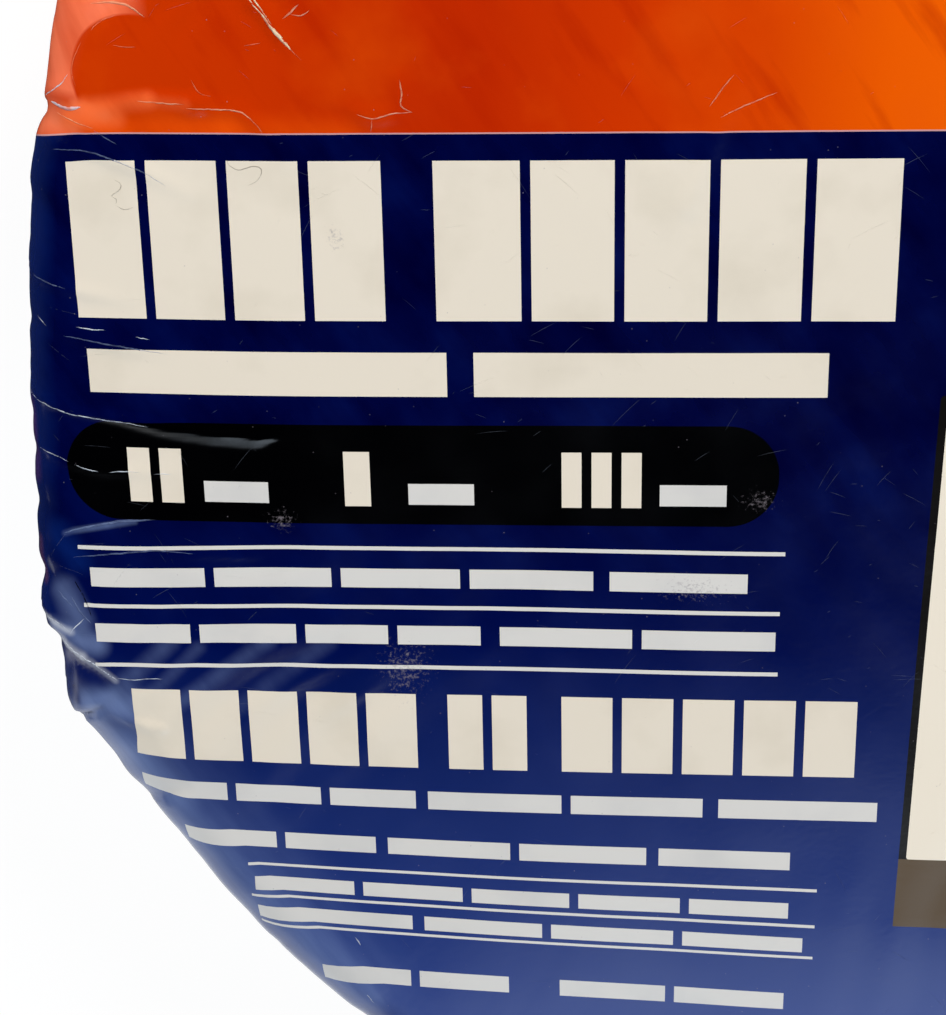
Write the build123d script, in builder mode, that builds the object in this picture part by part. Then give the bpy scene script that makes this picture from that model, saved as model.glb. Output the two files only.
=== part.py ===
# Roll of foil-backed fiberglass pipe wrap, as it is sold: the strip is wound on itself
# and drawn tight into a printed film bag. It lies flat on one end of the roll.
# The roll's axis is +Z, the printed face looks up and the top of the print is towards +Y.
# The origin is on the floor, under the middle of the bag. All sizes are in millimetres.
from build123d import *
import os
from math import acos, cos, degrees, pi, radians, sin, sqrt

# The strip
strip_width = 76.2
strip_length = 7620.0
wound_thickness = 6.35
bore_radius = 10.0
turn_ridge = 0.8

# The film is drawn tight, so it presses the outer turns down towards the rim of the front
front_droop = 2.0
droop_run = 40.0
side_droop_lag = 10.0

# The film bag
film_thickness = 0.3
film_clearance = 0.3
side_slack = 1.5
corner_slack = 7.2
front_shoulder = 7.0
shoulder_steps = 3
back_bevel = 4.0

# The welds across both ends of the film tube, and the ears of film at their corners
seal_reach = 2.5
ear_setback = 9.5
ear_width = 22.0
ear_reach = 8.0

# The wound strip fills a ring as large as its own length times its wound thickness
roll_radius = sqrt(bore_radius**2 + strip_length * wound_thickness / pi)
turns = round((roll_radius - bore_radius) / wound_thickness)
turn_pitch = (roll_radius - bore_radius) / turns

# The bag follows the roll with a clearance
roll_base = film_thickness + film_clearance
roll_top = roll_base + strip_width
bag_height = roll_top + film_clearance + film_thickness
bag_radius = roll_radius + corner_slack + film_thickness
bag_width = 2 * (roll_radius + side_slack + film_thickness)
droop_start = roll_radius - droop_run
side_droop_start = droop_start + side_droop_lag


def droop(radius):
    """How far the film presses the roll's front in, at this distance from the axis."""
    return front_droop * max(0, radius - droop_start) / droop_run


# Wound strip: one turned solid with its bore. On both ends each turn leans against the last.
turn_edges = [bore_radius + turn * turn_pitch for turn in range(turns + 1)]
lean = [turn_ridge * (turn % 2) for turn in range(turns + 1)]
back_end = [(edge, roll_base + lean[turn]) for turn, edge in enumerate(turn_edges)]
front_end = [(edge, roll_top - lean[turn] - droop(edge)) for turn, edge in enumerate(turn_edges)]

with BuildPart() as pipe_wrap_roll:
    with BuildSketch(Plane.XZ) as section:
        with BuildLine():
            Polyline(*back_end, *reversed(front_end), close=True)
        make_face()
        back_rim, front_rim = section.vertices().sort_by(Axis.X)[-2:].sort_by(Axis.Y)
        chamfer(back_rim, back_bevel)
        chamfer(front_rim, front_shoulder - side_slack)
    revolve(axis=Axis.Z)

pipe_wrap_roll.part.label = "pipe_wrap_roll"


def film_section(reach, slope_start, inset):
    """Half section of the drawn film, on the XZ plane: flat back, wall, shoulder and front."""
    wall = reach - inset
    front = bag_height - inset
    bevel = back_bevel - inset
    radius = front_shoulder - inset
    middle = (wall - radius, front - front_droop - radius)
    turns_of_arc = [radians(90 * step / shoulder_steps) for step in range(shoulder_steps + 1)]
    shoulder = [(middle[0] + radius * cos(turn), middle[1] + radius * sin(turn)) for turn in turns_of_arc]
    with BuildSketch(Plane.XZ) as half:
        with BuildLine():
            Polyline(
                (0, inset),
                (wall - bevel, inset),
                (wall, inset + bevel),
                *shoulder,
                (slope_start, front),
                (0, front),
                close=True,
            )
        make_face()
    return half.sketch


def drawn_film(inset):
    """The closed form that the film takes over the roll, inset by part of its thickness."""
    round_section = film_section(bag_radius, droop_start, inset)
    side_section = film_section(bag_width / 2, side_droop_start, inset)
    with BuildPart() as sides:
        extrude(side_section, amount=2 * bag_radius, both=True)
        mirror(about=Plane.YZ)
    with BuildPart() as form:
        revolve(round_section, axis=Axis.Z)
        add(sides.part, mode=Mode.INTERSECT)
    return form.part


# Film bag: a closed skin, welded across both ends of its tube, with an ear at each corner
side_end_angle = degrees(acos(bag_width / 2 / bag_radius))
ear_angle = side_end_angle + degrees(ear_setback / bag_radius)
ear_turns = [ear_angle, 180 - ear_angle, 180 + ear_angle, -ear_angle]
seal_thickness = 2 * film_thickness
seal_height = bag_height / 2
seal_start = bag_radius * sin(radians(ear_angle))

with BuildPart() as film_bag:
    add(drawn_film(0))
    with BuildSketch(Plane.XY.offset(seal_height - seal_thickness / 2)):
        Circle(bag_radius + seal_reach)
        Rectangle(3 * bag_radius, 2 * seal_start, mode=Mode.SUBTRACT)
        with Locations(*[Location((0, 0, 0), (0, 0, turn)) for turn in ear_turns]):
            Polygon(
                (bag_radius - ear_reach, -ear_width / 2),
                (bag_radius + ear_reach, 0),
                (bag_radius - ear_reach, ear_width / 2),
                align=None,
            )
    extrude(amount=seal_thickness)
    add(drawn_film(film_thickness), mode=Mode.SUBTRACT)

film_bag.part.label = "film_bag"

os.makedirs("parts", exist_ok=True)
export_step(pipe_wrap_roll.part, "parts/pipe_wrap_roll.step")
export_step(film_bag.part, "parts/film_bag.step")
print("roll", round(2 * roll_radius, 1), "mm across,", turns, "turns")
print("bag", round(bag_width, 1), "wide,", round(2 * bag_radius, 1), "long,", round(bag_height, 1), "high")
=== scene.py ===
# %% [markdown]
# # A flat pack of pipe wrap in its printed film bag
#
# The real object is a strip of foil-backed glass wool, wound on itself and pulled tight into a tube of
# printed poly film. It lies on one end of the roll, with the printed face up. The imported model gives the
# sizes and the roll. This lesson dresses it: one creased skin of film, the welds that close its ends, the
# print, and a plain studio around it. Lengths are in millimetres until the last moment of each mesh.

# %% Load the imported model
import math

import bpy
import numpy as np
from mathutils import Matrix, Vector


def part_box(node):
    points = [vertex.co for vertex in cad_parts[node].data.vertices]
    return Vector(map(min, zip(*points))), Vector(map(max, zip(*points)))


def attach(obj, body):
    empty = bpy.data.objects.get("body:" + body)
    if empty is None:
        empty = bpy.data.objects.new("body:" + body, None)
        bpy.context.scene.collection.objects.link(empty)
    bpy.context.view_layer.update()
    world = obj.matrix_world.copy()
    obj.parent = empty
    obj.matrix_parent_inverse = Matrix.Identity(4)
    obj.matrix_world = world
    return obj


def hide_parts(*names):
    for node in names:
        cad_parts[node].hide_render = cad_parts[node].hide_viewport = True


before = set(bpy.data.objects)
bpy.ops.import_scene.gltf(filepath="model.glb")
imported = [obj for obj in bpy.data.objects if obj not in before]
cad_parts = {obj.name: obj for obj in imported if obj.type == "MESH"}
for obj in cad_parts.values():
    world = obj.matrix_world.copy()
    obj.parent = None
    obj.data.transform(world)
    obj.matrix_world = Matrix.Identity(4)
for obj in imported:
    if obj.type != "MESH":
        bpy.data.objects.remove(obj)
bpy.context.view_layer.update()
MM = 0.001
print("pieces in the frame:", sorted(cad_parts))

# %% [markdown]
# ## The camera
#
# The picture is taken from close by, above the top half of the face, and it looks down towards the
# bottom, so the face shows foreshortened and its left side fills the frame. A camera can be turned by
# Euler angles or by a tracking constraint. Here its matrix is built from where it stands, what it aims
# at and which way is up in the picture, because those three can each be measured.

# %% Set the camera
camera_place = Vector((-33.4, 100.9, 365.9)) * MM
camera_aim = Vector((-57.5, -11.1, 77.5)) * MM
picture_up = Vector((0.0207, 1.0, 0.0))

camera_data = bpy.data.cameras.new("camera")
camera_data.sensor_fit = "VERTICAL"
camera_data.sensor_height = 36.0
camera_data.lens = 72.7
camera_data.clip_start = 0.01
camera = bpy.data.objects.new("camera", camera_data)
bpy.context.collection.objects.link(camera)
ahead = (camera_aim - camera_place).normalized()
right = ahead.cross(picture_up).normalized()
up = right.cross(ahead)
camera.matrix_world = Matrix((
    (right.x, up.x, -ahead.x, camera_place.x),
    (right.y, up.y, -ahead.y, camera_place.y),
    (right.z, up.z, -ahead.z, camera_place.z),
    (0, 0, 0, 1),
))
bpy.context.scene.camera = camera
print("camera looks down by", round(math.degrees(math.asin(-ahead.z)), 1), "degrees")

# %% [markdown]
# ## Helpers for node trees
#
# Materials, the world and the Geometry Nodes trees are all made of nodes and links. One small helper adds
# a node with its settings and inputs. The others are built on it, for the nodes that come up most, and
# give back the socket to link from.

# %% Node helpers
def add_node(tree, kind, inputs=None, **settings):
    """Adds a node. A value in inputs is a socket to link from, or a plain value to set."""
    made = tree.nodes.new(kind)
    for name, value in settings.items():
        setattr(made, name, value)
    for name, value in (inputs or {}).items():
        if isinstance(value, bpy.types.NodeSocket):
            tree.links.new(value, made.inputs[name])
        else:
            made.inputs[name].default_value = value
    return made


def sums(tree, operation, first, second=0.0):
    """One Math node, as a socket."""
    return add_node(tree, "ShaderNodeMath", {0: first, 1: second}, operation=operation).outputs[0]


def vectors(tree, operation, first, second=(0, 0, 0), third=(0, 0, 0), scale=1.0):
    """One Vector Math node, as a socket. Lengths, distances and dot products are numbers."""
    inputs = {0: first, 1: second, 2: third, 3: scale}
    made = add_node(tree, "ShaderNodeVectorMath", inputs, operation=operation)
    return made.outputs[1 if operation in ("LENGTH", "DISTANCE", "DOT_PRODUCT") else 0]


def spread(tree, value, low, high, to_low=0.0, to_high=1.0, curve="LINEAR"):
    """One Map Range node, as a socket: low becomes to_low, high becomes to_high, and it stops there."""
    inputs = {0: value, 1: low, 2: high, 3: to_low, 4: to_high}
    return add_node(tree, "ShaderNodeMapRange", inputs, interpolation_type=curve).outputs[0]


def noise(tree, place, scale, detail, roughness=0.5):
    """The outputs of a Noise Texture node: Fac is a number and Color is three of them."""
    inputs = {"Vector": place, "Scale": scale, "Detail": detail, "Roughness": roughness}
    return add_node(tree, "ShaderNodeTexNoise", inputs).outputs


# %% Colour helpers
def ramp(tree, factor, stops, interpolation="LINEAR"):
    """A colour ramp, as a socket. Each stop is (position, grey or colour)."""
    made = add_node(tree, "ShaderNodeValToRGB", {0: factor})
    made.color_ramp.interpolation = interpolation
    elements = made.color_ramp.elements
    while len(elements) < len(stops):
        elements.new(1.0)
    for element, (position, value) in zip(elements, stops):
        element.position = position
        colour = (value, value, value) if isinstance(value, (int, float)) else value
        element.color = (*colour, 1.0)
    return made.outputs[0]


def blend_colours(tree, factor, first, second, blend="MIX"):
    """A colour Mix node, as a socket."""
    made = add_node(tree, "ShaderNodeMix", data_type="RGBA", blend_type=blend)
    for place, value in ((0, factor), (6, first), (7, second)):
        if isinstance(value, bpy.types.NodeSocket):
            tree.links.new(value, made.inputs[place])
        elif place == 0:
            made.inputs[place].default_value = value
        else:
            made.inputs[place].default_value = (*value, 1.0)
    return made.outputs[2]


def print_colour(red, green, blue):
    """A colour read off a screen as 0 to 255, as the linear colour that a shader takes."""
    shares = [level / 255 for level in (red, green, blue)]
    return tuple(s / 12.92 if s <= 0.04045 else ((s + 0.055) / 1.055) ** 2.4 for s in shares)


# %% [markdown]
# ## The skin of film
#
# On the real pack the film is a tube that runs from the bottom of the print to its top. Both ends are
# welded, and then it is drawn tight: the sides of the tube are straight, the ends follow the round roll,
# and the front rounds over into the wall. It could be sculpted by hand or shrunk on by a cloth
# simulation. A tight film hardly moves, and its folds are few and in known places, so the skin is
# calculated: rings of points from the middle of the front, over the shoulder, down the wall and in to
# the middle of the back. The rings have fewer points towards the middle, so the squares stay even.

# %% Measure the bag
bag_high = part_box("film_bag")[1]
roll_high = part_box("pipe_wrap_roll")[1]
seal_reach = 2.5
bag_height = bag_high.z / MM
bag_radius = bag_high.y / MM - seal_reach
roll_radius = roll_high.x / MM
seal_height = bag_height / 2

# The straight left side faces a little off -X, in degrees round from +X, and bows out
left_flat_facing = 175.9
left_flat_distance = 125.0
left_flat_bow = 0.8
left_flat_half_turn = 20.0
right_flat_distance = roll_radius + 1.8
corner_softness = 0.8
side_shoulder_width = 7.0
end_shoulder_width = 11.0
side_shoulder_drop = 7.0
end_shoulder_drop = 8.5
front_droop = 2.0
droop_starts = 0.68
heel_radius = 4.0
print("bag radius", round(bag_radius, 1), "mm, height", round(bag_height, 1), "mm")

# %% Columns round the bag
# Columns of points go once round the bag, closer together towards the left side
columns = 704
crowd_left = 0.35
share = np.arange(columns) / columns
turn = 2 * np.pi * share + crowd_left * np.sin(2 * np.pi * share)
from_left = (180 - np.degrees(turn) + 180) % 360 - 180
print(columns, "columns, the closest", round(np.degrees(np.diff(turn).min()), 2), "degrees apart")


# %% Curves and noise for the form
def rise(value, low, high):
    """0 below low, 1 above high, and a smooth rise between."""
    t = np.clip((value - low) / (high - low), 0, 1)
    return t * t * (3 - 2 * t)


def hump(value, centre, width):
    """A smooth hump that is 1 at its centre."""
    return np.exp(-(((value - centre) / width) ** 2))


def value_noise(across, along, cell, seed):
    """Smooth noise from -1 to 1 with one random value for each cell."""
    table = np.random.default_rng(seed).uniform(-1, 1, (64, 64))
    x, y = across / cell, along / cell
    x0, y0 = np.floor(x).astype(int), np.floor(y).astype(int)
    fx, fy = x - x0, y - y0
    fx, fy = fx * fx * (3 - 2 * fx), fy * fy * (3 - 2 * fy)
    low = table[x0 % 64, y0 % 64] * (1 - fx) + table[(x0 + 1) % 64, y0 % 64] * fx
    high = table[x0 % 64, (y0 + 1) % 64] * (1 - fx) + table[(x0 + 1) % 64, (y0 + 1) % 64] * fx
    return low * (1 - fy) + high * fy


# %% Plain outline of the bag
def flat_reach(facing, distance):
    """How far a straight side lies from the axis, along each column."""
    lean = np.cos(turn - np.radians(facing))
    return np.where(lean > 0.3, distance / np.maximum(lean, 0.3), 10 * bag_radius)


bow = left_flat_bow * np.clip(1 - (from_left / left_flat_half_turn) ** 2, 0, 1)
circle = np.full(columns, bag_radius)
limits = [circle, flat_reach(left_flat_facing, left_flat_distance) + bow, flat_reach(0, right_flat_distance)]
# The smallest of the three, with soft corners. The powers are taken from a reach near them all.
soft_from = 100.0
closeness = sum(np.exp(-(limit - soft_from) / corner_softness) for limit in limits)
wall_reach = soft_from - corner_softness * np.log(closeness)
plain_reach = wall_reach.copy()
print("the straight sides lie", round(plain_reach.min(), 1), "mm from the axis")

# %% Dents of the outline
# Where the film is dented or drawn out: degrees round from the left side, width and depth
outline_marks = [
    (23.0, 2.4, -2.2),
    (23.3, 0.8, -0.45),
    (22.1, 0.6, -0.4),
    (29.0, 2.2, 0.9),
    (25.8, 1.1, -0.3),
    (11.0, 2.8, 0.6),
    (4.4, 1.0, 0.4),
    (-5.8, 0.7, -0.6),
    (-11.2, 1.0, -1.0),
    (-15.9, 0.9, -1.5),
    (-17.6, 1.2, -0.55),
    (-21.3, 2.2, 2.3),
    (-25.0, 2.6, 0.5),
    (-27.8, 1.3, 0.5),
    (-33.0, 7.0, -1.2),
    (-58.0, 10.0, 2.2),
    (52.0, 9.0, 1.2),
    (96.0, 5.0, -0.8),
    (128.0, 8.0, 1.5),
    (157.0, 3.0, -1.6),
    (-150.0, 6.0, -1.0),
    (-118.0, 9.0, 1.2),
]
for centre, width, depth in outline_marks:
    wall_reach = wall_reach + depth * hump(from_left, centre, width)

# A fine ripple all round, stronger where the pack has been handled
mm_per_degree = 2.3
ripple_height = 0.13
rim_run, no_height = from_left * mm_per_degree, np.zeros(columns)
ripple = value_noise(rim_run, no_height, 5, 3) + 0.6 * value_noise(rim_run, no_height, 2.2, 4)
worn = 1 + 1.6 * hump(from_left, -2, 14) + 1.2 * hump(from_left, 26, 8)
wall_reach = wall_reach + ripple_height * worn * ripple
print("outline reaches", round(wall_reach.min(), 1), "to", round(wall_reach.max(), 1), "mm from the axis")


def dented_reach(height):
    """Reach of the wall at a height. The dents are deep at the front's rim, and fade towards the back."""
    return plain_reach + (wall_reach - plain_reach) * (0.3 + 0.7 * rise(height, 22, 60))


# %% [markdown]
# The plan normal of the outline is needed twice: the wall is pushed along it, and the print carries on
# down the wall along it. It comes from a smoothed copy of the outline, so that small dents don't
# scatter it.

# %% Shoulder sizes and plan normals
smoothing_passes = 60
smooth_reach = wall_reach.copy()
for _ in range(smoothing_passes):
    smooth_reach = (np.roll(smooth_reach, 1) + 2 * smooth_reach + np.roll(smooth_reach, -1)) / 4
plan = np.stack([smooth_reach * np.cos(turn), smooth_reach * np.sin(turn)], axis=1)
run = np.roll(plan, -1, axis=0) - np.roll(plan, 1, axis=0)
run /= np.linalg.norm(run, axis=1)[:, None]
outward = np.stack([run[:, 1], -run[:, 0]], axis=1)
wall_run = np.concatenate([[0], np.cumsum(np.linalg.norm(np.roll(plan, -1, axis=0) - plan, axis=1))])[:-1]

# 0 on the straight sides and 1 on the round ends
toward_end = rise(np.abs(np.sin(turn)), 0.33, 0.62)
shoulder_width = side_shoulder_width + (end_shoulder_width - side_shoulder_width) * toward_end
shoulder_drop = side_shoulder_drop + (end_shoulder_drop - side_shoulder_drop) * toward_end
rim_reach = wall_reach - shoulder_width
rim_height = bag_height - front_droop
print("wall runs", round(float(wall_run[-1])), "mm round the bag")

# %% [markdown]
# ## Folds of the front
#
# Creases in tight film are of three kinds. A fold is a narrow ridge or groove along a line. A facet is
# a patch that lies at a slope on one side of a line. And slack film makes soft waves. Each gets a short
# list of real places in millimetres on the print, and one function turns a list into heights.

# %% Distance from a path
def path_distance(u, v, path):
    """Each point's distance from a path, its side of it, and how far along it is, 0 to 1."""
    points = np.array(path, dtype=float)
    lengths = np.linalg.norm(np.diff(points, axis=0), axis=1)
    starts = np.concatenate([[0], np.cumsum(lengths)])
    nearest = np.full(u.shape, 1e9)
    side = np.zeros(u.shape)
    along = np.zeros(u.shape)
    for (ax, ay), (bx, by), length, start in zip(points[:-1], points[1:], lengths, starts):
        dx, dy = (bx - ax) / length, (by - ay) / length
        t = np.clip((u - ax) * dx + (v - ay) * dy, 0, length)
        gap = np.hypot(u - ax - t * dx, v - ay - t * dy)
        closer = gap < nearest
        nearest = np.where(closer, gap, nearest)
        side = np.where(closer, dx * (v - ay) - dy * (u - ax), side)
        along = np.where(closer, (start + t) / starts[-1], along)
    return nearest, side, along


# %% Places of the folds
# Each fold: height, half width, and its path on the print
folds = [
    (0.30, 1.0, [(-124.7, -2.7), (-118.7, -5.1), (-115.0, -6.1), (-103.7, -6.2)]),
    (0.09, 0.9, [(-122.5, -16.6), (-115.6, -14.8), (-107.5, -13.9), (-98.0, -13.2)]),
    (0.30, 1.1, [(-124.0, 24.0), (-116.6, 22.3), (-108.0, 20.6)]),
    (0.30, 1.2, [(-118.6, 15.4), (-110.0, 13.6), (-102.7, 12.8)]),
    (0.40, 1.2, [(-118.1, 43.7), (-112.4, 43.1), (-104.7, 40.3), (-98.0, 36.8)]),
    (0.35, 1.2, [(-97.3, 49.4), (-89.6, 48.9), (-87.5, 47.3), (-85.0, 44.6), (-83.0, 41.0)]),
    (0.35, 1.4, [(-72.7, 48.5), (-70.5, 47.9), (-64.9, 48.7)]),
    (0.30, 1.2, [(-66.5, 53.4), (-66.3, 49.7), (-64.7, 48.7)]),
    (0.70, 1.3, [(-122.0, 49.9), (-117.6, 49.5), (-113.5, 49.2)]),
    (0.60, 1.2, [(-120.5, 49.6), (-117.6, 50.5), (-114.7, 52.1), (-113.0, 54.8)]),
    (0.45, 1.2, [(-121.0, 48.6), (-114.4, 47.3), (-110.5, 45.6), (-106.0, 43.4)]),
    (0.55, 1.1, [(-87.1, 64.2), (-85.3, 62.5), (-82.4, 58.4), (-81.0, 56.0)]),
    (0.60, 1.7, [(-127.5, -29.6), (-123.8, -31.4), (-122.0, -33.1), (-120.1, -31.2)]),
    (0.75, 1.8, [(-126.5, -33.5), (-123.7, -35.0), (-120.6, -37.1), (-118.2, -39.2), (-115.7, -41.4)]),
    (0.12, 0.7, [(-115.2, -41.2), (-107.6, -41.1)]),
    (-0.30, 0.9, [(-120.9, -24.1), (-119.4, -27.4), (-118.4, -30.4)]),
    (-0.35, 1.0, [(-122.8, -37.9), (-119.5, -40.6), (-117.1, -43.4)]),
    (0.30, 1.2, [(-25.7, 34.9), (-23.3, 41.8), (-19.3, 51.2), (-16.9, 58.2)]),
    (0.25, 1.4, [(40.0, 60.0), (52.0, 71.0), (58.0, 86.0)]),
    (0.35, 1.3, [(124.0, 22.0), (114.0, 19.0), (103.0, 18.4)]),
    (0.45, 1.4, [(124.0, -34.0), (117.0, -38.0), (108.0, -46.0)]),
    (0.30, 1.3, [(62.0, -104.0), (66.0, -92.0), (64.0, -80.0)]),
    (0.35, 1.3, [(96.0, 78.0), (88.0, 72.0), (84.0, 62.0)]),
]


def fold_height(u, v):
    """Heights of all the folds. Each fades at its inner end, and where two cross the higher one shows."""
    highest, deepest, flanks = np.zeros(u.shape), np.zeros(u.shape), np.zeros(u.shape)
    for height, half_width, path in folds:
        gap, side, along = path_distance(u, v, path)
        fade = 1 - 0.75 * rise(along, 0.5, 1.0)
        ridge = height * fade * np.exp(-((gap / half_width) ** 2))
        highest = np.maximum(highest, ridge)
        deepest = np.minimum(deepest, ridge)
        flank = 0.3 * height * fade * np.exp(-gap / (3.5 * half_width))
        flanks += flank * np.sign(side) * rise(gap, 0, half_width)
    return highest + deepest + np.clip(flanks, -0.5, 0.5)


# %% Places of the tucks
# A tuck is a fold with one sharp side and one side that slopes evenly, towards the bottom of the print.
# Each tuck: its slope, the widest that the slope gets, and its path on the print
tucks = [
    (0.50, 2.2, [
        (-127.0, 6.4), (-118.4, 3.5), (-110.9, 2.75), (-103.7, 1.45), (-97.3, 0.72), (-91.5, 0.15),
        (-86.0, -0.3),
    ]),
    (0.16, 3.6, [
        (-116.0, 49.6), (-111.0, 48.4), (-106.5, 50.6), (-101.5, 51.0), (-97.0, 50.6), (-93.0, 50.2),
    ]),
    (0.18, 1.0, [(-112.0, -20.6), (-104.0, -19.8), (-97.0, -19.4), (-90.0, -19.8)]),
    (0.20, 2.0, [(-121.0, -46.0), (-114.0, -49.0), (-107.0, -50.5)]),
]


def tuck_height(u, v):
    """Heights of the tucks. The slope widens along the path, and closes at its end."""
    total = np.zeros(u.shape)
    for slope, widest, path in tucks:
        gap, side, along = path_distance(u, v, path)
        opened = 0.36 + 0.64 * rise(along, 0.15, 0.6)
        width = widest * opened * (1 - rise(along, 0.9, 1.0)) * rise(along, 0, 0.08)
        steepness = slope * (1.4 - 0.4 * opened) * (1 - 0.6 * rise(along, 0.7, 1.0))
        lower = np.maximum(width - gap, 0) * steepness
        upper = width * slope * np.exp(-((gap / 0.55) ** 2))
        total = np.maximum(total, np.where(side < 0, lower, upper))
    return total


# %% Waves of slack film
# Each patch of waves: centre, reach, direction that the waves run in, wavelength and height
wave_patches = [
    ((-94.0, -41.0), (26.0, 17.0), 36.0, 8.0, 0.15),
    ((-66.0, -36.0), (20.0, 11.0), 40.0, 9.6, 0.10),
    ((-106.0, 66.0), (12.0, 12.0), 62.0, 5.2, 0.10),
    ((-70.0, 72.0), (30.0, 18.0), 118.0, 8.0, 0.06),
    ((-30.0, 62.0), (22.0, 24.0), 122.0, 7.0, 0.07),
    ((70.0, 62.0), (30.0, 22.0), 55.0, 10.0, 0.16),
    ((92.0, -62.0), (24.0, 24.0), -48.0, 10.0, 0.12),
    ((10.0, -106.0), (40.0, 12.0), 80.0, 9.0, 0.07),
]


def wave_height(u, v):
    """Soft undulation everywhere, and the patches of waves."""
    total = 0.22 * value_noise(u, v, 34, 11) + 0.06 * value_noise(u, v, 13, 12)
    for (cu, cv), (ru, rv), direction, length, height in wave_patches:
        c, s = math.cos(math.radians(direction)), math.sin(math.radians(direction))
        along, across = (u - cu) * c + (v - cv) * s, -(u - cu) * s + (v - cv) * c
        window = np.exp(-((along / ru) ** 2) - (across / rv) ** 2)
        bend = 3.4 * value_noise(u + 200, v + 200, 17, 13)
        ridge = np.sin(2 * np.pi * (across + bend) / length)
        strength = 0.75 + 0.55 * value_noise(u + 400, v + 400, 12, 14)
        total += height * window * strength * (ridge + 0.35 * ridge**3)
    return total


# %% Facets beside the edge
# Each facet: the line that it starts from, how far it reaches, and its drop at that reach.
# It lies to the left of its line, seen along it.
facets = [
    ([
        (-113.6, 50.6), (-114.1, 53.0), (-113.3, 56.0), (-110.6, 60.0), (-106.4, 62.3), (-98.0, 68.0),
    ], 9.0, 2.2),
    ([(-113.6, -43.6), (-117.1, -40.2), (-119.4, -38.4), (-123.7, -35.4)], 8.0, 1.6),
    ([(-103.5, -62.0), (-111.0, -50.0), (-114.6, -44.0)], 9.0, 1.8),
]


def facet_height(u, v):
    """Heights of the sloped patches."""
    total = np.zeros(u.shape)
    for path, reach, drop in facets:
        gap, side, along = path_distance(u, v, path)
        beside = rise(along, 0.0, 0.08) * (1 - rise(along, 0.92, 1.0))
        total -= np.where(side > 0, drop * np.minimum(gap / reach, 1.0), 0) * beside
    return total


# %% [markdown]
# ## Rings of the skin
#
# Every ring is one height of the form and one step of the print. The front has its rings 0.7 mm apart
# near its rim, where the creases are, and wider apart further in. A ring also knows how far past the rim
# the print has run on, so that the orange and the navy carry on down the wall and over the back without
# a seam.

# %% Rings of the front
def ring_of(reach, height, past_rim, back=False, level=0):
    """One ring: reach from the axis and height for each column, and the length of film past the rim."""
    return {"reach": reach, "height": height, "past": past_rim, "back": back, "level": level}


def droop_at(fraction):
    """How far the front has sunk at this fraction of its reach."""
    return front_droop * np.clip((fraction - droop_starts) / (1 - droop_starts), 0, 1) ** 1.6


# Rings lie close at the rim and wider apart further in. Each time that they are half as long, a level
# is over, and the next one has half as many points.
front_gap, front_widening, front_hole = 0.7, 0.5, 0.03
back_gap, back_widening, back_hole = 1.6, 1.6, 0.05
last_level = 6
middle_rim = float(np.mean(rim_reach))
front_rings = []
fraction, level = 1.0, 0
while fraction > front_hole:
    front_rings.append(ring_of(rim_reach * fraction, bag_height - droop_at(fraction), 0.0, level=level))
    gap = front_gap + front_widening * float(rise(1 - fraction, 0.1, 0.35))
    fraction -= gap / middle_rim
    if fraction < 0.5 ** (level + 1) and level < last_level:
        level += 1
front_rings.reverse()
print(len(front_rings), "front rings")

# %% Rings of the shoulder and the wall
shoulder_steps = 11
shoulder_rings = []
for step in range(1, shoulder_steps + 1):
    angle = math.pi / 2 * step / shoulder_steps
    reach = rim_reach + shoulder_width * math.sin(angle)
    height = rim_height - shoulder_drop * (1 - math.cos(angle))
    shoulder_rings.append(ring_of(reach, height, (shoulder_width + shoulder_drop) / 2 * angle))

wall_steps = 18
past_shoulder = (shoulder_width + shoulder_drop) / 2 * math.pi / 2
wall_top = rim_height - shoulder_drop
wall_rings = []
for step in range(1, wall_steps + 1):
    height = wall_top + (heel_radius - wall_top) * step / wall_steps
    wall_rings.append(ring_of(dented_reach(height), height, past_shoulder + wall_top - height))
print(len(shoulder_rings), "shoulder rings and", len(wall_rings), "wall rings")

# %% Rings of the heel and the back
heel_steps = 5
heel_rings = []
for step in range(1, heel_steps + 1):
    angle = math.pi / 2 * step / heel_steps
    height = np.full(columns, heel_radius * (1 - math.sin(angle)))
    reach = dented_reach(height) - heel_radius * (1 - math.cos(angle))
    past = past_shoulder + wall_top - heel_radius + heel_radius * angle
    heel_rings.append(ring_of(reach, height, past))

back_rings = []
fraction, level = 1.0, 0
heel_reach = dented_reach(0.0) - heel_radius
while fraction > back_hole:
    gap = back_gap + back_widening * float(rise(1 - fraction, 0.05, 0.3))
    fraction -= gap / middle_rim
    if fraction < 0.93 * 0.5**level and level < last_level:
        level += 1
    back_rings.append(ring_of(heel_reach * fraction, np.zeros(columns), 0.0, back=True, level=level))

rings = front_rings + shoulder_rings + wall_rings + heel_rings + back_rings
print(len(heel_rings), "heel rings and", len(back_rings), "back rings")

# %% [markdown]
# ## Pleats of the wall
#
# Each weld closes the round end of the pack in a straight line half way up, so the film on both sides of
# it lies in small pleats that start at the weld and die out before the front and the back. On the
# straight sides the tube only has a few long slack creases. The pleats have seeded random places,
# lengths and leans.

# %% Heights of the pleats
pleat_draw = np.random.default_rng(21)
round_length = float(wall_run[-1])
# The welded ends swell by this much at the weld, over this height on both sides of it
seal_swell, seal_swell_height = 0.9, 7.0
side_bow, wall_unevenness = 0.25, 0.16


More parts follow.
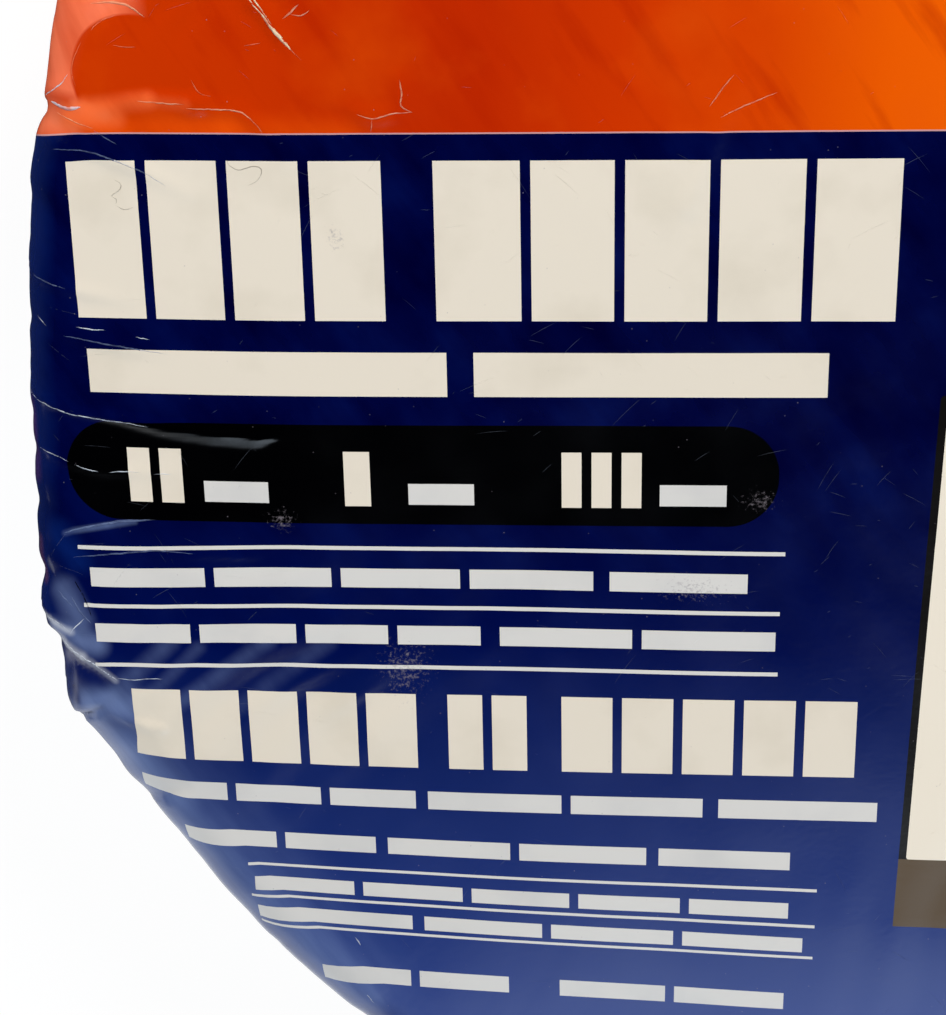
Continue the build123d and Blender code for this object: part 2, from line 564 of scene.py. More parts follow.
def wall_relief(run_at, height):
    """How far the wall stands out from its plain form, in millimetres."""
    share_end = np.interp(run_at, wall_run, toward_end)
    from_seal = height - seal_height
    total = seal_swell * share_end * np.exp(-((from_seal / seal_swell_height) ** 2))
    total += side_bow * (1 - share_end) * np.sin(np.pi * np.clip(height / bag_height, 0, 1))
    total += wall_unevenness * value_noise(run_at, height * 2.2, 17, 31)
    for place, half_width, length, lean, upper, depth in pleats:
        reach = from_seal if upper else -from_seal
        across = (run_at - place - lean * reach + round_length / 2) % round_length - round_length / 2
        widen = half_width * (1 + np.clip(reach, 0, 40) / 25)
        fade = np.where(reach > -1, np.clip(1 - np.maximum(reach, 0) / length, 0, 1), 0) ** 0.8
        near = np.abs(across) < 3.5 * widen
        total += np.where(near, depth * fade * np.exp(-((across / widen) ** 2)), 0)
    return total


pleats = []
for half in (True, False):
    place = 0.0
    while place < round_length:
        place += pleat_draw.uniform(3.4, 7.5)
        on_end = float(np.interp(place % round_length, wall_run, toward_end))
        keep = pleat_draw.uniform(0, 1)
        sizes = (pleat_draw.uniform(0.8, 1.7), pleat_draw.uniform(14, 34), pleat_draw.uniform(-0.35, 0.35))
        depth = pleat_draw.uniform(0.25, 0.8) * (0.25 + 0.75 * on_end)
        if keep < 0.25 + 0.75 * on_end:
            pleats.append((place, *sizes, half, depth))
print(len(pleats), "pleats")

# %% Put the rings together
# The relief of the front fades over this length of film past the rim
relief_run = 26.0
front_swell = 0.35
places, prints, pasts, ring_starts, ring_columns = [], [], [], [], []
for ring in rings:
    step = 2 ** ring["level"]
    chosen = np.arange(0, columns, step)
    reach = np.broadcast_to(ring["reach"], (columns,))[chosen]
    height = np.broadcast_to(ring["height"], (columns,))[chosen].astype(float)
    past = np.broadcast_to(ring["past"], (columns,))[chosen]
    cosine, sine = np.cos(turn[chosen]), np.sin(turn[chosen])
    normal = outward[chosen]
    if ring["back"]:
        print_uv = np.stack([reach * cosine, reach * sine], axis=1)
    else:
        start = np.minimum(reach, rim_reach[chosen])
        print_uv = np.stack([start * cosine, start * sine], axis=1) + normal * past[:, None]
    x, y, z = reach * cosine, reach * sine, height
    on_front = np.clip(1 - past / relief_run, 0, 1)
    if not ring["back"]:
        u, v = print_uv[:, 0], print_uv[:, 1]
        relief = (front_swell + wave_height(u, v)) * rise(on_front, 0, 0.7) * np.minimum(1, reach / 10)
        relief += (fold_height(u, v) + tuck_height(u, v)) * rise(on_front, 0, 0.5)
        slump = facet_height(u, v) * rise(on_front, 0.3, 1.0)
        tilt = np.clip(past / past_shoulder[chosen], 0, 1) * math.pi / 2
        wall = wall_relief(wall_run[chosen], height) * rise(past, 4, 22)
        wall *= rise(height, -0.01, 9.0)
        x = x + (relief * np.sin(tilt) + wall) * normal[:, 0]
        y = y + (relief * np.sin(tilt) + wall) * normal[:, 1]
        z = z + relief * np.cos(tilt) + slump
    ring_starts.append(sum(len(p) for p in places))
    ring_columns.append(len(chosen))
    places.append(np.stack([x, y, z], axis=1))
    prints.append(print_uv)
    pasts.append(np.broadcast_to(past, (len(chosen),)))
middle_front = np.array([[0.0, 0.0, bag_height + 0.2]])
middle_back = np.array([[0.0, 0.0, 0.0]])
points = np.concatenate(places + [middle_front, middle_back])
point_prints = np.concatenate(prints + [middle_front[:, :2], middle_back[:, :2]])
point_past = np.concatenate(pasts + [np.zeros(2)])
print(len(points), "points, highest", round(points[:, 2].max(), 2), "mm")

# %% [markdown]
# Neighbouring rings with as many points are joined by quads. Where the inner ring has half as many,
# each of its segments takes three triangles. The faces of the lower wall and the back get a print
# coordinate far to the side, so that only the front carries the layout.

# %% Faces of the skin
faces = []
faces_on_back = []


def join_rings(inner, outer, backwards, on_back):
    """Faces between two rings. The outer ring has as many points as the inner one, or twice as many."""
    first, second = ring_starts[inner], ring_starts[outer]
    count, outer_count = ring_columns[inner], ring_columns[outer]
    for i in range(count):
        j = (i + 1) % count
        if count == outer_count:
            made = [(first + i, second + i, second + j, first + j)]
        else:
            a, b, c = second + 2 * i, second + 2 * i + 1, second + (2 * i + 2) % outer_count
            made = [(first + i, a, b), (first + i, b, first + j), (first + j, b, c)]
        for face in made:
            faces.append(tuple(reversed(face)) if backwards else face)
            faces_on_back.append(on_back)


last_front_wall = len(front_rings) + len(shoulder_rings) + wall_steps // 2
for index in range(len(rings) - 1):
    if ring_columns[index] <= ring_columns[index + 1]:
        join_rings(index, index + 1, False, index >= last_front_wall)
    else:
        join_rings(index + 1, index, True, True)
top, bottom = len(points) - 2, len(points) - 1
for i in range(ring_columns[0]):
    faces.append((top, i, (i + 1) % ring_columns[0]))
    faces_on_back.append(False)
last = ring_starts[-1]
for i in range(ring_columns[-1]):
    faces.append((bottom, last + (i + 1) % ring_columns[-1], last + i))
    faces_on_back.append(True)
triangles = sum(len(face) - 2 for face in faces)
print(len(faces), "faces,", triangles, "triangles")

# %% Sizes of the print map
back_print_shift = 1000.0
# The lower part of the print has slipped, so its rows slope up to the right
lower_slope = 0.03
slope_starts = -38.0
slope_full = -86.5
slope_left = -95.0
# The line between the fields sags at the left edge, and the rules are drawn up a little along their middle
field_sag = 0.85
rule_draw, rule_sink, rule_drop = 1.1, 0.4, 0.3
print("the print slopes by", round(math.degrees(math.atan(lower_slope)), 1), "degrees at its foot")

# %% Make the mesh and its print map
skin_mesh = bpy.data.meshes.new("film_skin")
skin_mesh.from_pydata((points * MM).tolist(), [], faces)
skin_mesh.update()
corner_points = np.empty(len(skin_mesh.loops), dtype=np.int32)
skin_mesh.loops.foreach_get("vertex_index", corner_points)
corner_prints = point_prints[corner_points].copy()
sunk = np.clip((corner_prints[:, 1] - slope_starts) / (slope_full - slope_starts), 0, 1)
corner_prints[:, 1] += lower_slope * sunk**2 * (corner_prints[:, 0] - slope_left)
corner_prints[:, 1] += field_sag * rise(-corner_prints[:, 0], 110, 122) * hump(corner_prints[:, 1], 46, 14)
in_rules = rise(corner_prints[:, 1], -46, -39.5) * (1 - rise(corner_prints[:, 1], -18, -13))
rule_lift = rule_draw * rise(corner_prints[:, 0], -118, -84) - rule_sink * rise(corner_prints[:, 0], -50, -10)
rule_lift -= rule_drop
corner_prints[:, 1] -= rule_lift * in_rules
corner_counts = np.array([len(face) for face in faces])
corner_on_back = np.repeat(np.array(faces_on_back), corner_counts)
corner_prints[corner_on_back, 0] += back_print_shift
print_map = skin_mesh.uv_layers.new(name="print")
print_map.uv.foreach_set("vector", (corner_prints * MM).astype(np.float32).ravel())
past_rim = skin_mesh.attributes.new("past_rim", "FLOAT", "POINT")
past_rim.data.foreach_set("value", point_past.astype(np.float32))
skin_mesh.shade_smooth()
film_skin = bpy.data.objects.new("film_skin", skin_mesh)
bpy.context.collection.objects.link(film_skin)
print("print map runs from", corner_prints.min(axis=0).round(1), "to", corner_prints.max(axis=0).round(1))

# %% [markdown]
# ## The print
#
# The film is printed in two fields, an orange end and a navy one, with plain shapes on the navy: cream
# bars in rows, thin white rules, a black pill and a framed pale panel. An image would be quick, but
# shader nodes stay sharp at any distance and read nothing from disk. Each row of bars is one colour
# ramp with hard steps along the print, and one comparison cuts it to the row's height.

# %% Inks, and colours of painted light
# The orange gets brighter to the right: painted light, as if more light fell on the right. Each stop: where
# it is across the print, and its colour
orange_painted_light_stops = [
    (-120.0, (209, 57, 1)),
    (-85.0, (205, 51, 1)),
    (-55.0, (196, 42, 1)),
    (-35.0, (212, 55, 1)),
    (-15.0, (222, 68, 1)),
    (2.0, (244, 94, 1)),
    (30.0, (253, 106, 8)),
]
orange_streak = print_colour(186, 34, 0)
orange_bright = print_colour(238, 88, 4)
# Painted light: the orange of loose film past the rim, lit from behind and with a hazy reflection painted in
orange_painted_haze = print_colour(255, 122, 82)
navy = print_colour(0, 4, 59)
navy_deep = print_colour(0, 0, 45)
navy_light = print_colour(1, 14, 78)
# Painted reflection: the navy as it looks with the bright window mirrored in it, towards the bottom of the
# print
navy_painted_reflection = print_colour(48, 77, 160)
# Painted light: the navy of loose film past the rim, with a hazy reflection painted in
navy_painted_haze = print_colour(8, 36, 108)
cream = print_colour(240, 230, 213)
cream_shade = print_colour(230, 220, 202)
bar_grey = print_colour(226, 224, 220)
bar_grey_shade = print_colour(216, 215, 213)
field_line_colour = print_colour(208, 158, 158)
pill_black = print_colour(1, 1, 2)
panel_pale = print_colour(250, 240, 222)
panel_frame = print_colour(18, 16, 15)
panel_foot = print_colour(96, 80, 61)
dust = print_colour(146, 138, 146)
print("the orange runs through", len(orange_painted_light_stops), "tones")

# %% Places of the bars, the rules and the panel
field_line = 45.7
field_line_half = 0.11
print_left, print_right = -130.0, 130.0
# Each row of bars: its top and bottom, its stretches with their ends and number of bars, and its colour
bar_rows = [
    (41.8, 18.2, [(-116.0, -69.8, 4), (-62.2, 3.2, 5)], "cream"),
    (41.8, 18.2, [(12.0, 34.0, 2), (42.0, 104.0, 4)], "cream"),
    (13.4, 6.6, [(-115.2, -60.5, 1), (-56.5, -4.8, 1)], "cream"),
    (-2.1, -10.9, [(-110.3, -101.5, 2), (-76.6, -72.6, 1), (-44.4, -32.4, 3)], "cream"),
    (-7.2, -10.6, [(-98.6, -88.6, 1), (-67.0, -57.0, 1), (-29.6, -19.6, 1)], "grey"),
    (-22.0, -25.2, [(-118.0, -80.0, 2), (-77.8, -39.0, 2), (-36.8, -16.0, 1)], "grey"),
    (-31.6, -34.8, [(-118.0, -86.0, 2), (-83.8, -56.4, 2), (-54.2, -12.0, 2)], "grey"),
    (-43.0, -55.6, [(-113.0, -67.4, 5), (-62.2, -49.2, 2), (-44.4, 0.6, 5)], "cream"),
    (-59.8, -63.0, [(-112.6, -68.0, 3), (-65.8, -22.0, 2), (-19.8, 5.4, 1)], "grey"),
    (-68.6, -71.6, [(-106.0, -74.6, 2), (-72.4, -31.0, 2), (-28.8, -8.0, 1)], "grey"),
    (-77.2, -79.8, [(-95.0, -60.8, 2), (-58.8, -8.0, 3)], "grey"),
    (-83.0, -85.6, [(-95.0, -68.8, 1), (-66.8, -6.0, 3)], "grey"),
    (-93.8, -97.0, [(-84.7, -53.5, 2), (-44.6, -8.6, 2)], "grey"),
]
bar_gap = 1.5
# Cycles looks a ramp up in a table of 256 places, so the bars of a row lie on a grid of 255 half millimetres
bar_grid, ramp_places = 0.5, 255
# Each rule: its height, its left and right end and its half thickness
rules = [
    (-18.6, -119.6, -10.4, 0.33),
    (-28.5, -119.5, -10.9, 0.33),
    (-38.7, -118.5, -10.9, 0.33),
    (-74.9, -96.0, -3.4, 0.25),
    (-80.95, -95.8, -3.5, 0.25),
    (-86.6, -95.0, -3.6, 0.25),
]
pill_centre, pill_half = (-65.8, -5.87), (54.1, 8.0)
panel_left, panel_right, panel_top, panel_foot_top, panel_bottom = 10.3, 104.0, 7.0, -69.1, -80.2
panel_frame_width = 1.2
# The panel leans: it is this much further right for each millimetre above this height
panel_lean, panel_lean_from = 0.026, -28.0
print(len(bar_rows), "rows of bars and", len(rules), "rules")

# %% Smudges, and milky strokes of painted reflection
# Where dirt has stuck: centre and half sizes of each smudge
smudges = [
    ((-86.8, -13.6), (3.2, 3.2)),
    ((-68.6, -39.0), (6.2, 7.4)),
    ((-14.4, -9.6), (3.6, 2.6)),
    ((-76.6, 30.6), (2.2, 3.2)),
    ((-24.0, -24.5), (8.0, 3.2)),
    ((36.0, -34.0), (7.0, 4.0)),
    ((-40.0, 84.0), (6.0, 5.0)),
]
# Painted reflections and painted highlights on slack and creased film, partly film gone milky under stress:
# tint, strength, half width, start and end of each soft stroke
milky_blue_reflection = print_colour(128, 150, 200)
milky_white_highlight = print_colour(215, 220, 232)
milky_orange_highlight = print_colour(255, 132, 88)
coral_reflection = print_colour(255, 112, 56)
amber_highlight = print_colour(242, 84, 8)
# Painted reflection: purple-brown tints mirrored along the left edge of the film
plum_reflection_tint = print_colour(104, 54, 106)
rust_coloured_reflection = print_colour(126, 72, 80)
navy_patch = print_colour(0, 16, 84)
# On the navy: painted reflections of the window on slack film at the lower left and along creases, with
# patches of plain navy between them
navy_milk_and_reflections = [
    (milky_blue_reflection, 0.30, 20.0, (-118.0, -56.0), (-84.0, -99.0)),
    (milky_blue_reflection, 0.42, 7.5, (-121.5, -51.0), (-116.0, -56.0)),
    (milky_blue_reflection, 0.20, 2.4, (-118.8, -46.1), (-106.1, -34.8)),
    (milky_blue_reflection, 0.14, 1.8, (-109.7, -43.6), (-101.4, -35.6)),
    (milky_blue_reflection, 0.22, 2.2, (-110.4, -49.0), (-90.2, -34.5)),
    (milky_blue_reflection, 0.12, 2.2, (-96.3, -46.2), (-80.7, -34.8)),
    (milky_blue_reflection, 0.42, 6.0, (-116.0, -56.0), (-108.0, -64.0)),
    (milky_blue_reflection, 0.36, 6.0, (-105.5, -70.0), (-96.0, -81.5)),
    (milky_blue_reflection, 0.36, 7.0, (-94.0, -83.5), (-78.0, -100.0)),
    (milky_blue_reflection, 0.66, 4.8, (-120.0, -46.4), (-113.0, -46.2)),
    (navy_patch, 0.80, 1.5, (-123.6, -43.6), (-123.4, -46.8)),
    (milky_blue_reflection, 0.36, 3.4, (-122.8, -25.4), (-120.4, -31.0)),
    (milky_blue_reflection, 0.52, 3.2, (-124.6, -32.5), (-118.2, -35.4)),
    (navy_patch, 0.85, 3.4, (-121.6, -40.2), (-118.2, -42.0)),
    (milky_white_highlight, 0.62, 1.3, (-127.5, -30.3), (-122.2, -32.9)),
    (milky_white_highlight, 0.72, 1.4, (-126.0, -33.8), (-120.6, -37.1)),
    (milky_white_highlight, 0.50, 1.1, (-120.6, -37.1), (-115.6, -41.6)),
    (milky_blue_reflection, 0.40, 0.8, (-121.4, -16.2), (-110.0, -14.2)),
    (navy_painted_haze, 0.80, 3.6, (-122.7, -15.9), (-119.6, -21.0)),
    # Painted reflection of a purple-brown tint along the left edge
    (plum_reflection_tint, 0.40, 2.4, (-127.0, 4.0), (-126.8, -7.0)),
    (rust_coloured_reflection, 0.40, 1.6, (-127.4, -17.5), (-127.2, -24.0)),
]
# On the orange: a painted highlight below a ridge beside the field line, and painted reflections where the
# film is creased
orange_reflections = [
    (amber_highlight, 0.75, 4.2, (-112.0, 46.6), (-92.0, 46.2)),
    (amber_highlight, 0.50, 3.6, (-92.0, 46.2), (-74.0, 45.6)),
    (milky_orange_highlight, 0.75, 1.6, (-113.6, 49.3), (-109.5, 48.4)),
    (coral_reflection, 0.85, 2.2, (-112.0, 49.4), (-103.0, 50.4)),
    (coral_reflection, 0.40, 1.6, (-103.0, 50.4), (-97.5, 49.8)),
    (milky_orange_highlight, 0.75, 3.4, (-121.0, 47.5), (-115.0, 47.2)),
    (coral_reflection, 0.85, 2.6, (-115.0, 47.8), (-108.0, 48.0)),
]
# The film stands off the roll outside this circle, at the upper left corner, where it is painted lighter
slack_centre, slack_radius = (-105.0, 53.5), 8.9
print(len(smudges), "smudges and", len(navy_milk_and_reflections + orange_reflections), "milky strokes")


# %% Masks of the print
def between(tree, value, low, high):
    """1 where the value lies between low and high."""
    offset = sums(tree, "ABSOLUTE", sums(tree, "SUBTRACT", value, (low + high) / 2))
    return sums(tree, "LESS_THAN", offset, (high - low) / 2)


def rounded_box(tree, place, centre, half, radius):
    """1 inside a box with rounded corners. The print is flat, so its third size only has to be large."""
    off = vectors(tree, "ABSOLUTE", vectors(tree, "SUBTRACT", place, (*centre, 0)))
    inner = (half[0] - radius, half[1] - radius, 10.0)
    off = vectors(tree, "MAXIMUM", vectors(tree, "SUBTRACT", off, inner), (0, 0, 0))
    return sums(tree, "LESS_THAN", vectors(tree, "LENGTH", off), radius)


def bar_mask(tree, across, along, row):
    """1 on the bars of one row."""
    top, bottom, stretches, _ = row
    row_left = stretches[0][0] - bar_grid
    stops = [(0.0, 0.0)]
    for start, end, count in stretches:
        first = round((start - row_left) / bar_grid)
        pitch = round((end - start + bar_gap) / count / bar_grid)
        for bar in range(count):
            left_edge = first + bar * pitch
            right_edge = left_edge + pitch - round(bar_gap / bar_grid)
            stops.append(((left_edge - 0.5) / ramp_places, 1.0))
            stops.append(((right_edge - 0.5) / ramp_places, 0.0))
    along_share = sums(tree, "DIVIDE", sums(tree, "SUBTRACT", along, row_left), ramp_places * bar_grid)
    steps_along = ramp(tree, along_share, stops, "CONSTANT")
    return sums(tree, "MULTIPLY", steps_along, between(tree, across, bottom, top))


# %% Soft strokes
def stroke_group():
    """A node group that is 1 along a line from Start, and fades to 0 at the half width."""
    tree = bpy.data.node_groups.new("soft_stroke", "ShaderNodeTree")
    for name in ("Place", "Start", "Direction"):
        tree.interface.new_socket(name, in_out="INPUT", socket_type="NodeSocketVector")
    for name in ("Length", "Half width"):
        tree.interface.new_socket(name, in_out="INPUT", socket_type="NodeSocketFloat")
    tree.interface.new_socket("Amount", in_out="OUTPUT", socket_type="NodeSocketFloat")
    entry = tree.nodes.new("NodeGroupInput").outputs
    off = vectors(tree, "SUBTRACT", entry["Place"], entry["Start"])
    along = sums(tree, "MAXIMUM", vectors(tree, "DOT_PRODUCT", off, entry["Direction"]), 0.0)
    along = sums(tree, "MINIMUM", along, entry["Length"])
    gap = vectors(tree, "DISTANCE", off, vectors(tree, "SCALE", entry["Direction"], scale=along))
    amount = spread(tree, gap, 0.0, entry["Half width"], 1.0, 0.0, curve="SMOOTHSTEP")
    tree.links.new(amount, tree.nodes.new("NodeGroupOutput").inputs[0])
    return tree


soft_stroke = stroke_group()


def stroked(tree, place, breakup, colour, strokes):
    """The colour with soft strokes of painted reflection and milky film over it, broken up by a fine noise.
    """
    for tint, strength, half, start, end in strokes:
        run = Vector((*end, 0)) - Vector((*start, 0))
        stroke = add_node(tree, "ShaderNodeGroup", {
            "Place": place, "Start": (*start, 0), "Direction": run.normalized(), "Length": run.length,
            "Half width": half,
        }, node_tree=soft_stroke)
        amount = sums(tree, "MULTIPLY", sums(tree, "MULTIPLY", stroke.outputs[0], strength), breakup)
        colour = blend_colours(tree, amount, colour, tint)
    return colour


# %% Orange end
def orange_field(tree, u, clouds, streaks):
    """The orange, brighter to the right by painted light, with darker streaks and lighter clouds."""
    print_width = print_right - print_left
    stops = [((at - print_left) / print_width, print_colour(*tone)) for at, tone in orange_painted_light_stops]
    orange = ramp(tree, spread(tree, u, print_left, print_right), stops)
    orange = blend_colours(tree, spread(tree, streaks, 0.54, 0.7, 0.0, 0.5), orange, orange_streak)
    return blend_colours(tree, spread(tree, clouds, 0.5, 0.75, 0.0, 0.35), orange, orange_bright)


# %% Navy field
def navy_field(tree, u, v, clouds, streaks):
    """The navy, mottled, with a painted reflection of the window that lightens it below the middle and more
    towards the bottom of the print.
    """
    mottle = sums(tree, "ADD", sums(tree, "MULTIPLY", clouds, 0.6), sums(tree, "MULTIPLY", streaks, 0.4))
    dark = ramp(tree, mottle, [(0.38, navy_deep), (0.52, navy), (0.7, navy_light)])
    # Painted reflection of the window: lighter below the middle, and a pale blue glare towards the bottom of
    # the print
    dark = blend_colours(tree, spread(tree, v, -4.0, -36.0, 0.0, 0.7), dark, navy_patch)
    painted_reflection = sums(tree, "MULTIPLY", spread(tree, v, -35.0, -112.0), spread(tree, u, -60.0, 20.0, 0.72, 0.84))
    return blend_colours(tree, painted_reflection, dark, navy_painted_reflection)


# %% Loose film past the rim, painted lighter
def slack_mask(tree, place, u, v):
    """1 where the film of the upper left corner stands off the roll."""
    far = vectors(tree, "DISTANCE", place, (*slack_centre, 0))
    outside = spread(tree, far, slack_radius - 0.15, slack_radius + 0.25)
    corner = sums(tree, "MULTIPLY", spread(tree, u, -102.0, -107.0), spread(tree, v, 49.6, 51.4))
    return sums(tree, "MULTIPLY", outside, corner)


def shaded_fields(tree, place, u, v, clouds, streaks):
    """Both fields as one colour. Past the rim the film is loose, and it is painted lighter there: painted
    light that gets behind it, and a painted hazy reflection.
    """
    past = add_node(tree, "ShaderNodeAttribute", attribute_name="past_rim").outputs["Fac"]
    past = sums(tree, "ADD", past, sums(tree, "MULTIPLY", sums(tree, "SUBTRACT", clouds, 0.5), 5.0))
    loose = spread(tree, past, 1.8, 9.5)
    mottled = spread(tree, streaks, 0.35, 0.6, 0.55, 1.0)
    # Painted light: the loose film and the standing-off corner are painted lighter
    painted_paleness = sums(tree, "MAXIMUM", sums(tree, "MULTIPLY", loose, 0.6), slack_mask(tree, place, u, v))
    painted_paleness = sums(tree, "MULTIPLY", painted_paleness, mottled)
    dark = blend_colours(tree, loose, navy_field(tree, u, v, clouds, streaks), navy_painted_haze)
    dark = stroked(tree, place, mottled, dark, navy_milk_and_reflections)
    orange = blend_colours(tree, painted_paleness, orange_field(tree, u, clouds, streaks), orange_painted_haze)
    orange = stroked(tree, place, mottled, orange, orange_reflections)
    return blend_colours(tree, sums(tree, "GREATER_THAN", v, field_line), dark, orange)


# %% Panel, bars and rules
def with_panel(tree, place, v, colour):
    """The colour with the framed panel and its foot over it."""
    middle = (panel_left + panel_right) / 2
    frame_half = ((panel_right - panel_left) / 2, (panel_top - panel_bottom) / 2)
    frame_centre = (middle, (panel_top + panel_bottom) / 2)
    lean = sums(tree, "MULTIPLY", sums(tree, "SUBTRACT", v, panel_lean_from), -panel_lean)
    leant = vectors(tree, "ADD", place, add_node(tree, "ShaderNodeCombineXYZ", {0: lean}).outputs[0])
    colour = blend_colours(tree, rounded_box(tree, leant, frame_centre, frame_half, 0.6), colour, panel_frame)
    leant_u = add_node(tree, "ShaderNodeSeparateXYZ", {0: leant}).outputs[0]
    foot = sums(tree, "MULTIPLY", between(tree, leant_u, panel_left, panel_right),
                between(tree, v, panel_bottom, panel_foot_top))
    colour = blend_colours(tree, foot, colour, panel_foot)
    field_half = (frame_half[0] - panel_frame_width, (panel_top - panel_foot_top - panel_frame_width) / 2)
    field_centre = (middle, (panel_top - panel_frame_width + panel_foot_top) / 2)
    return blend_colours(tree, rounded_box(tree, leant, field_centre, field_half, 0.4), colour, panel_pale)


def with_bars(tree, u, v, clouds, colour):
    """The colour with the rows of bars and the thin rules over it."""
    for name, tint, shade in (("cream", cream, cream_shade), ("grey", bar_grey, bar_grey_shade)):
        mask = 0.0
        for row in bar_rows:
            if row[3] == name:
                mask = sums(tree, "MAXIMUM", bar_mask(tree, v, u, row), mask)
        colour = blend_colours(tree, mask, colour, ramp(tree, clouds, [(0.28, shade), (0.5, tint)]))
    for height, left, right_end, half in rules:
        mask = sums(tree, "MULTIPLY", between(tree, v, height - half, height + half),
                    between(tree, u, left, right_end))
        colour = blend_colours(tree, mask, colour, bar_grey)
    return colour


# %% Dust and dirt
def dusted(tree, place, drifts, colour):
    """The colour with specks of dust in drifts, and the smudges of dirt."""
    specks = add_node(tree, "ShaderNodeTexVoronoi", {"Vector": place, "Scale": 0.18}, voronoi_dimensions="2D")
    specks = sums(tree, "LESS_THAN", specks.outputs["Distance"], 0.018)
    specks = sums(tree, "MULTIPLY", sums(tree, "MULTIPLY", specks, drifts), 0.4)
    colour = blend_colours(tree, specks, colour, dust)
    dirt = 0.0
    for centre, half in smudges:
        off = vectors(tree, "SUBTRACT", place, (*centre, 0))
        far = vectors(tree, "LENGTH", vectors(tree, "DIVIDE", off, (*half, 1e6)))
        dirt = sums(tree, "MAXIMUM", spread(tree, far, 1.0, 0.2), dirt)
    grain = noise(tree, place, 1.5, 6.0, roughness=0.75)["Fac"]
    amount = sums(tree, "ADD", grain, sums(tree, "MULTIPLY", dirt, 0.16))
    amount = spread(tree, amount, 0.64, 0.78, 0.0, 0.55)
    amount = sums(tree, "MULTIPLY", amount, sums(tree, "GREATER_THAN", dirt, 0.0))
    return blend_colours(tree, amount, colour, dust)


# %% Layout of the print
def print_layout():
    """The colours of the print, as one node group that all the finishes of the film share."""
    tree = bpy.data.node_groups.new("print_layout", "ShaderNodeTree")
    for name, kind in (("Colour", "Color"), ("Clouds", "Float"), ("Drifts", "Float")):
        tree.interface.new_socket(name, in_out="OUTPUT", socket_type="NodeSocket" + kind)
    metres = add_node(tree, "ShaderNodeUVMap", uv_map="print").outputs[0]
    place = vectors(tree, "SCALE", metres, scale=1 / MM)
    u, v, _ = add_node(tree, "ShaderNodeSeparateXYZ", {0: place}).outputs

    # The print wavers by a hair, because the film is not flat when it is printed
    waver = sums(tree, "SUBTRACT", noise(tree, place, 0.05, 1.0)["Fac"], 0.5)
    v = sums(tree, "ADD", v, sums(tree, "MULTIPLY", waver, 0.1))

    # Clouds are slow and even. Streaks are drawn out along a slant, as the film was when it was pulled
    clouds = noise(tree, place, 0.06, 4.0)["Fac"]
    slant = {0: place, 2: (0, 0, -0.95), 3: (6.0, 1.0, 1.0)}
    drawn = add_node(tree, "ShaderNodeMapping", slant, vector_type="TEXTURE").outputs[0]
    streaks = noise(tree, drawn, 0.2, 5.0)["Fac"]
    drifts = spread(tree, noise(tree, place, 0.09, 3.0)["Fac"], 0.52, 0.66)

    colour = shaded_fields(tree, place, u, v, clouds, streaks)
    on_line = between(tree, v, field_line - field_line_half, field_line + field_line_half)
    colour = blend_colours(tree, on_line, colour, field_line_colour)
    pill = rounded_box(tree, place, pill_centre, pill_half, pill_half[1] - 0.3)
    colour = blend_colours(tree, pill, colour, pill_black)
    colour = with_panel(tree, place, v, colour)
    colour = with_bars(tree, u, v, clouds, colour)
    colour = dusted(tree, place, drifts, colour)
    leave = tree.nodes.new("NodeGroupOutput")
    for name, source in (("Colour", colour), ("Clouds", clouds), ("Drifts", drifts)):
        tree.links.new(source, leave.inputs[name])
    return tree


layout = print_layout()
print("the print layout has", len(layout.nodes), "nodes")


# %% Material of the printed film
def printed_film(name, pale=None, paleness=0.0, blend="MIX"):
    """Glossy poly film over the print. Stressed or scratched film is the same, only lighter, and lines of
    painted highlight or painted shade are the same, mixed towards their tint.
    """
    material = bpy.data.materials.new(name)
    material.use_nodes = True
    tree = material.node_tree
    tree.nodes.clear()
    print_node = add_node(tree, "ShaderNodeGroup", node_tree=layout)
    colour = print_node.outputs["Colour"]
    place = add_node(tree, "ShaderNodeTexCoord").outputs["Object"]
    if pale is not None:
        amount = spread(tree, noise(tree, place, 700.0, 2.0)["Fac"], 0.35, 0.6, 0.3 * paleness, paleness)
        colour = blend_colours(tree, amount, colour, pale, blend)

    # Gloss varies where hands have rubbed it, and drifts of fine crinkles break it up
    rough = spread(tree, print_node.outputs["Clouds"], 0.3, 0.7, 0.12, 0.24)
    cells = {"Vector": add_node(tree, "ShaderNodeUVMap", uv_map="print").outputs[0], "Scale": 110.0}
    edges = add_node(tree, "ShaderNodeTexVoronoi", cells, voronoi_dimensions="2D", feature="DISTANCE_TO_EDGE")
    crinkle = spread(tree, edges.outputs[0], 0.0, 0.05)
    crinkle = sums(tree, "MULTIPLY", sums(tree, "MULTIPLY", crinkle, print_node.outputs["Drifts"]), 0.05)
    fine = sums(tree, "MULTIPLY", noise(tree, place, 900.0, 5.0)["Fac"], 0.18)
    relief = {"Height": sums(tree, "ADD", crinkle, fine), "Strength": 0.35, "Distance": 0.0002}
    bump = add_node(tree, "ShaderNodeBump", relief).outputs[0]

    shader = add_node(tree, "ShaderNodeBsdfPrincipled", {
        "Base Color": colour, "Roughness": rough, "IOR": 1.5, "Normal": bump,
    })
    add_node(tree, "ShaderNodeOutputMaterial", {0: shader.outputs[0]})
    return material


film = printed_film("printed_film")
film_skin.data.materials.append(film)
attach(film_skin, "root")
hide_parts("film_bag")

# %% [markdown]
# ## Helpers for Geometry Nodes
#
# The welds, ears, stress lines and scratches repeat or follow a path, so Geometry Nodes make them. Each
# tree has named inputs, and one helper runs a tree on an object and turns the result into a plain mesh.
# The others give the fields and nodes that more than one tree needs.

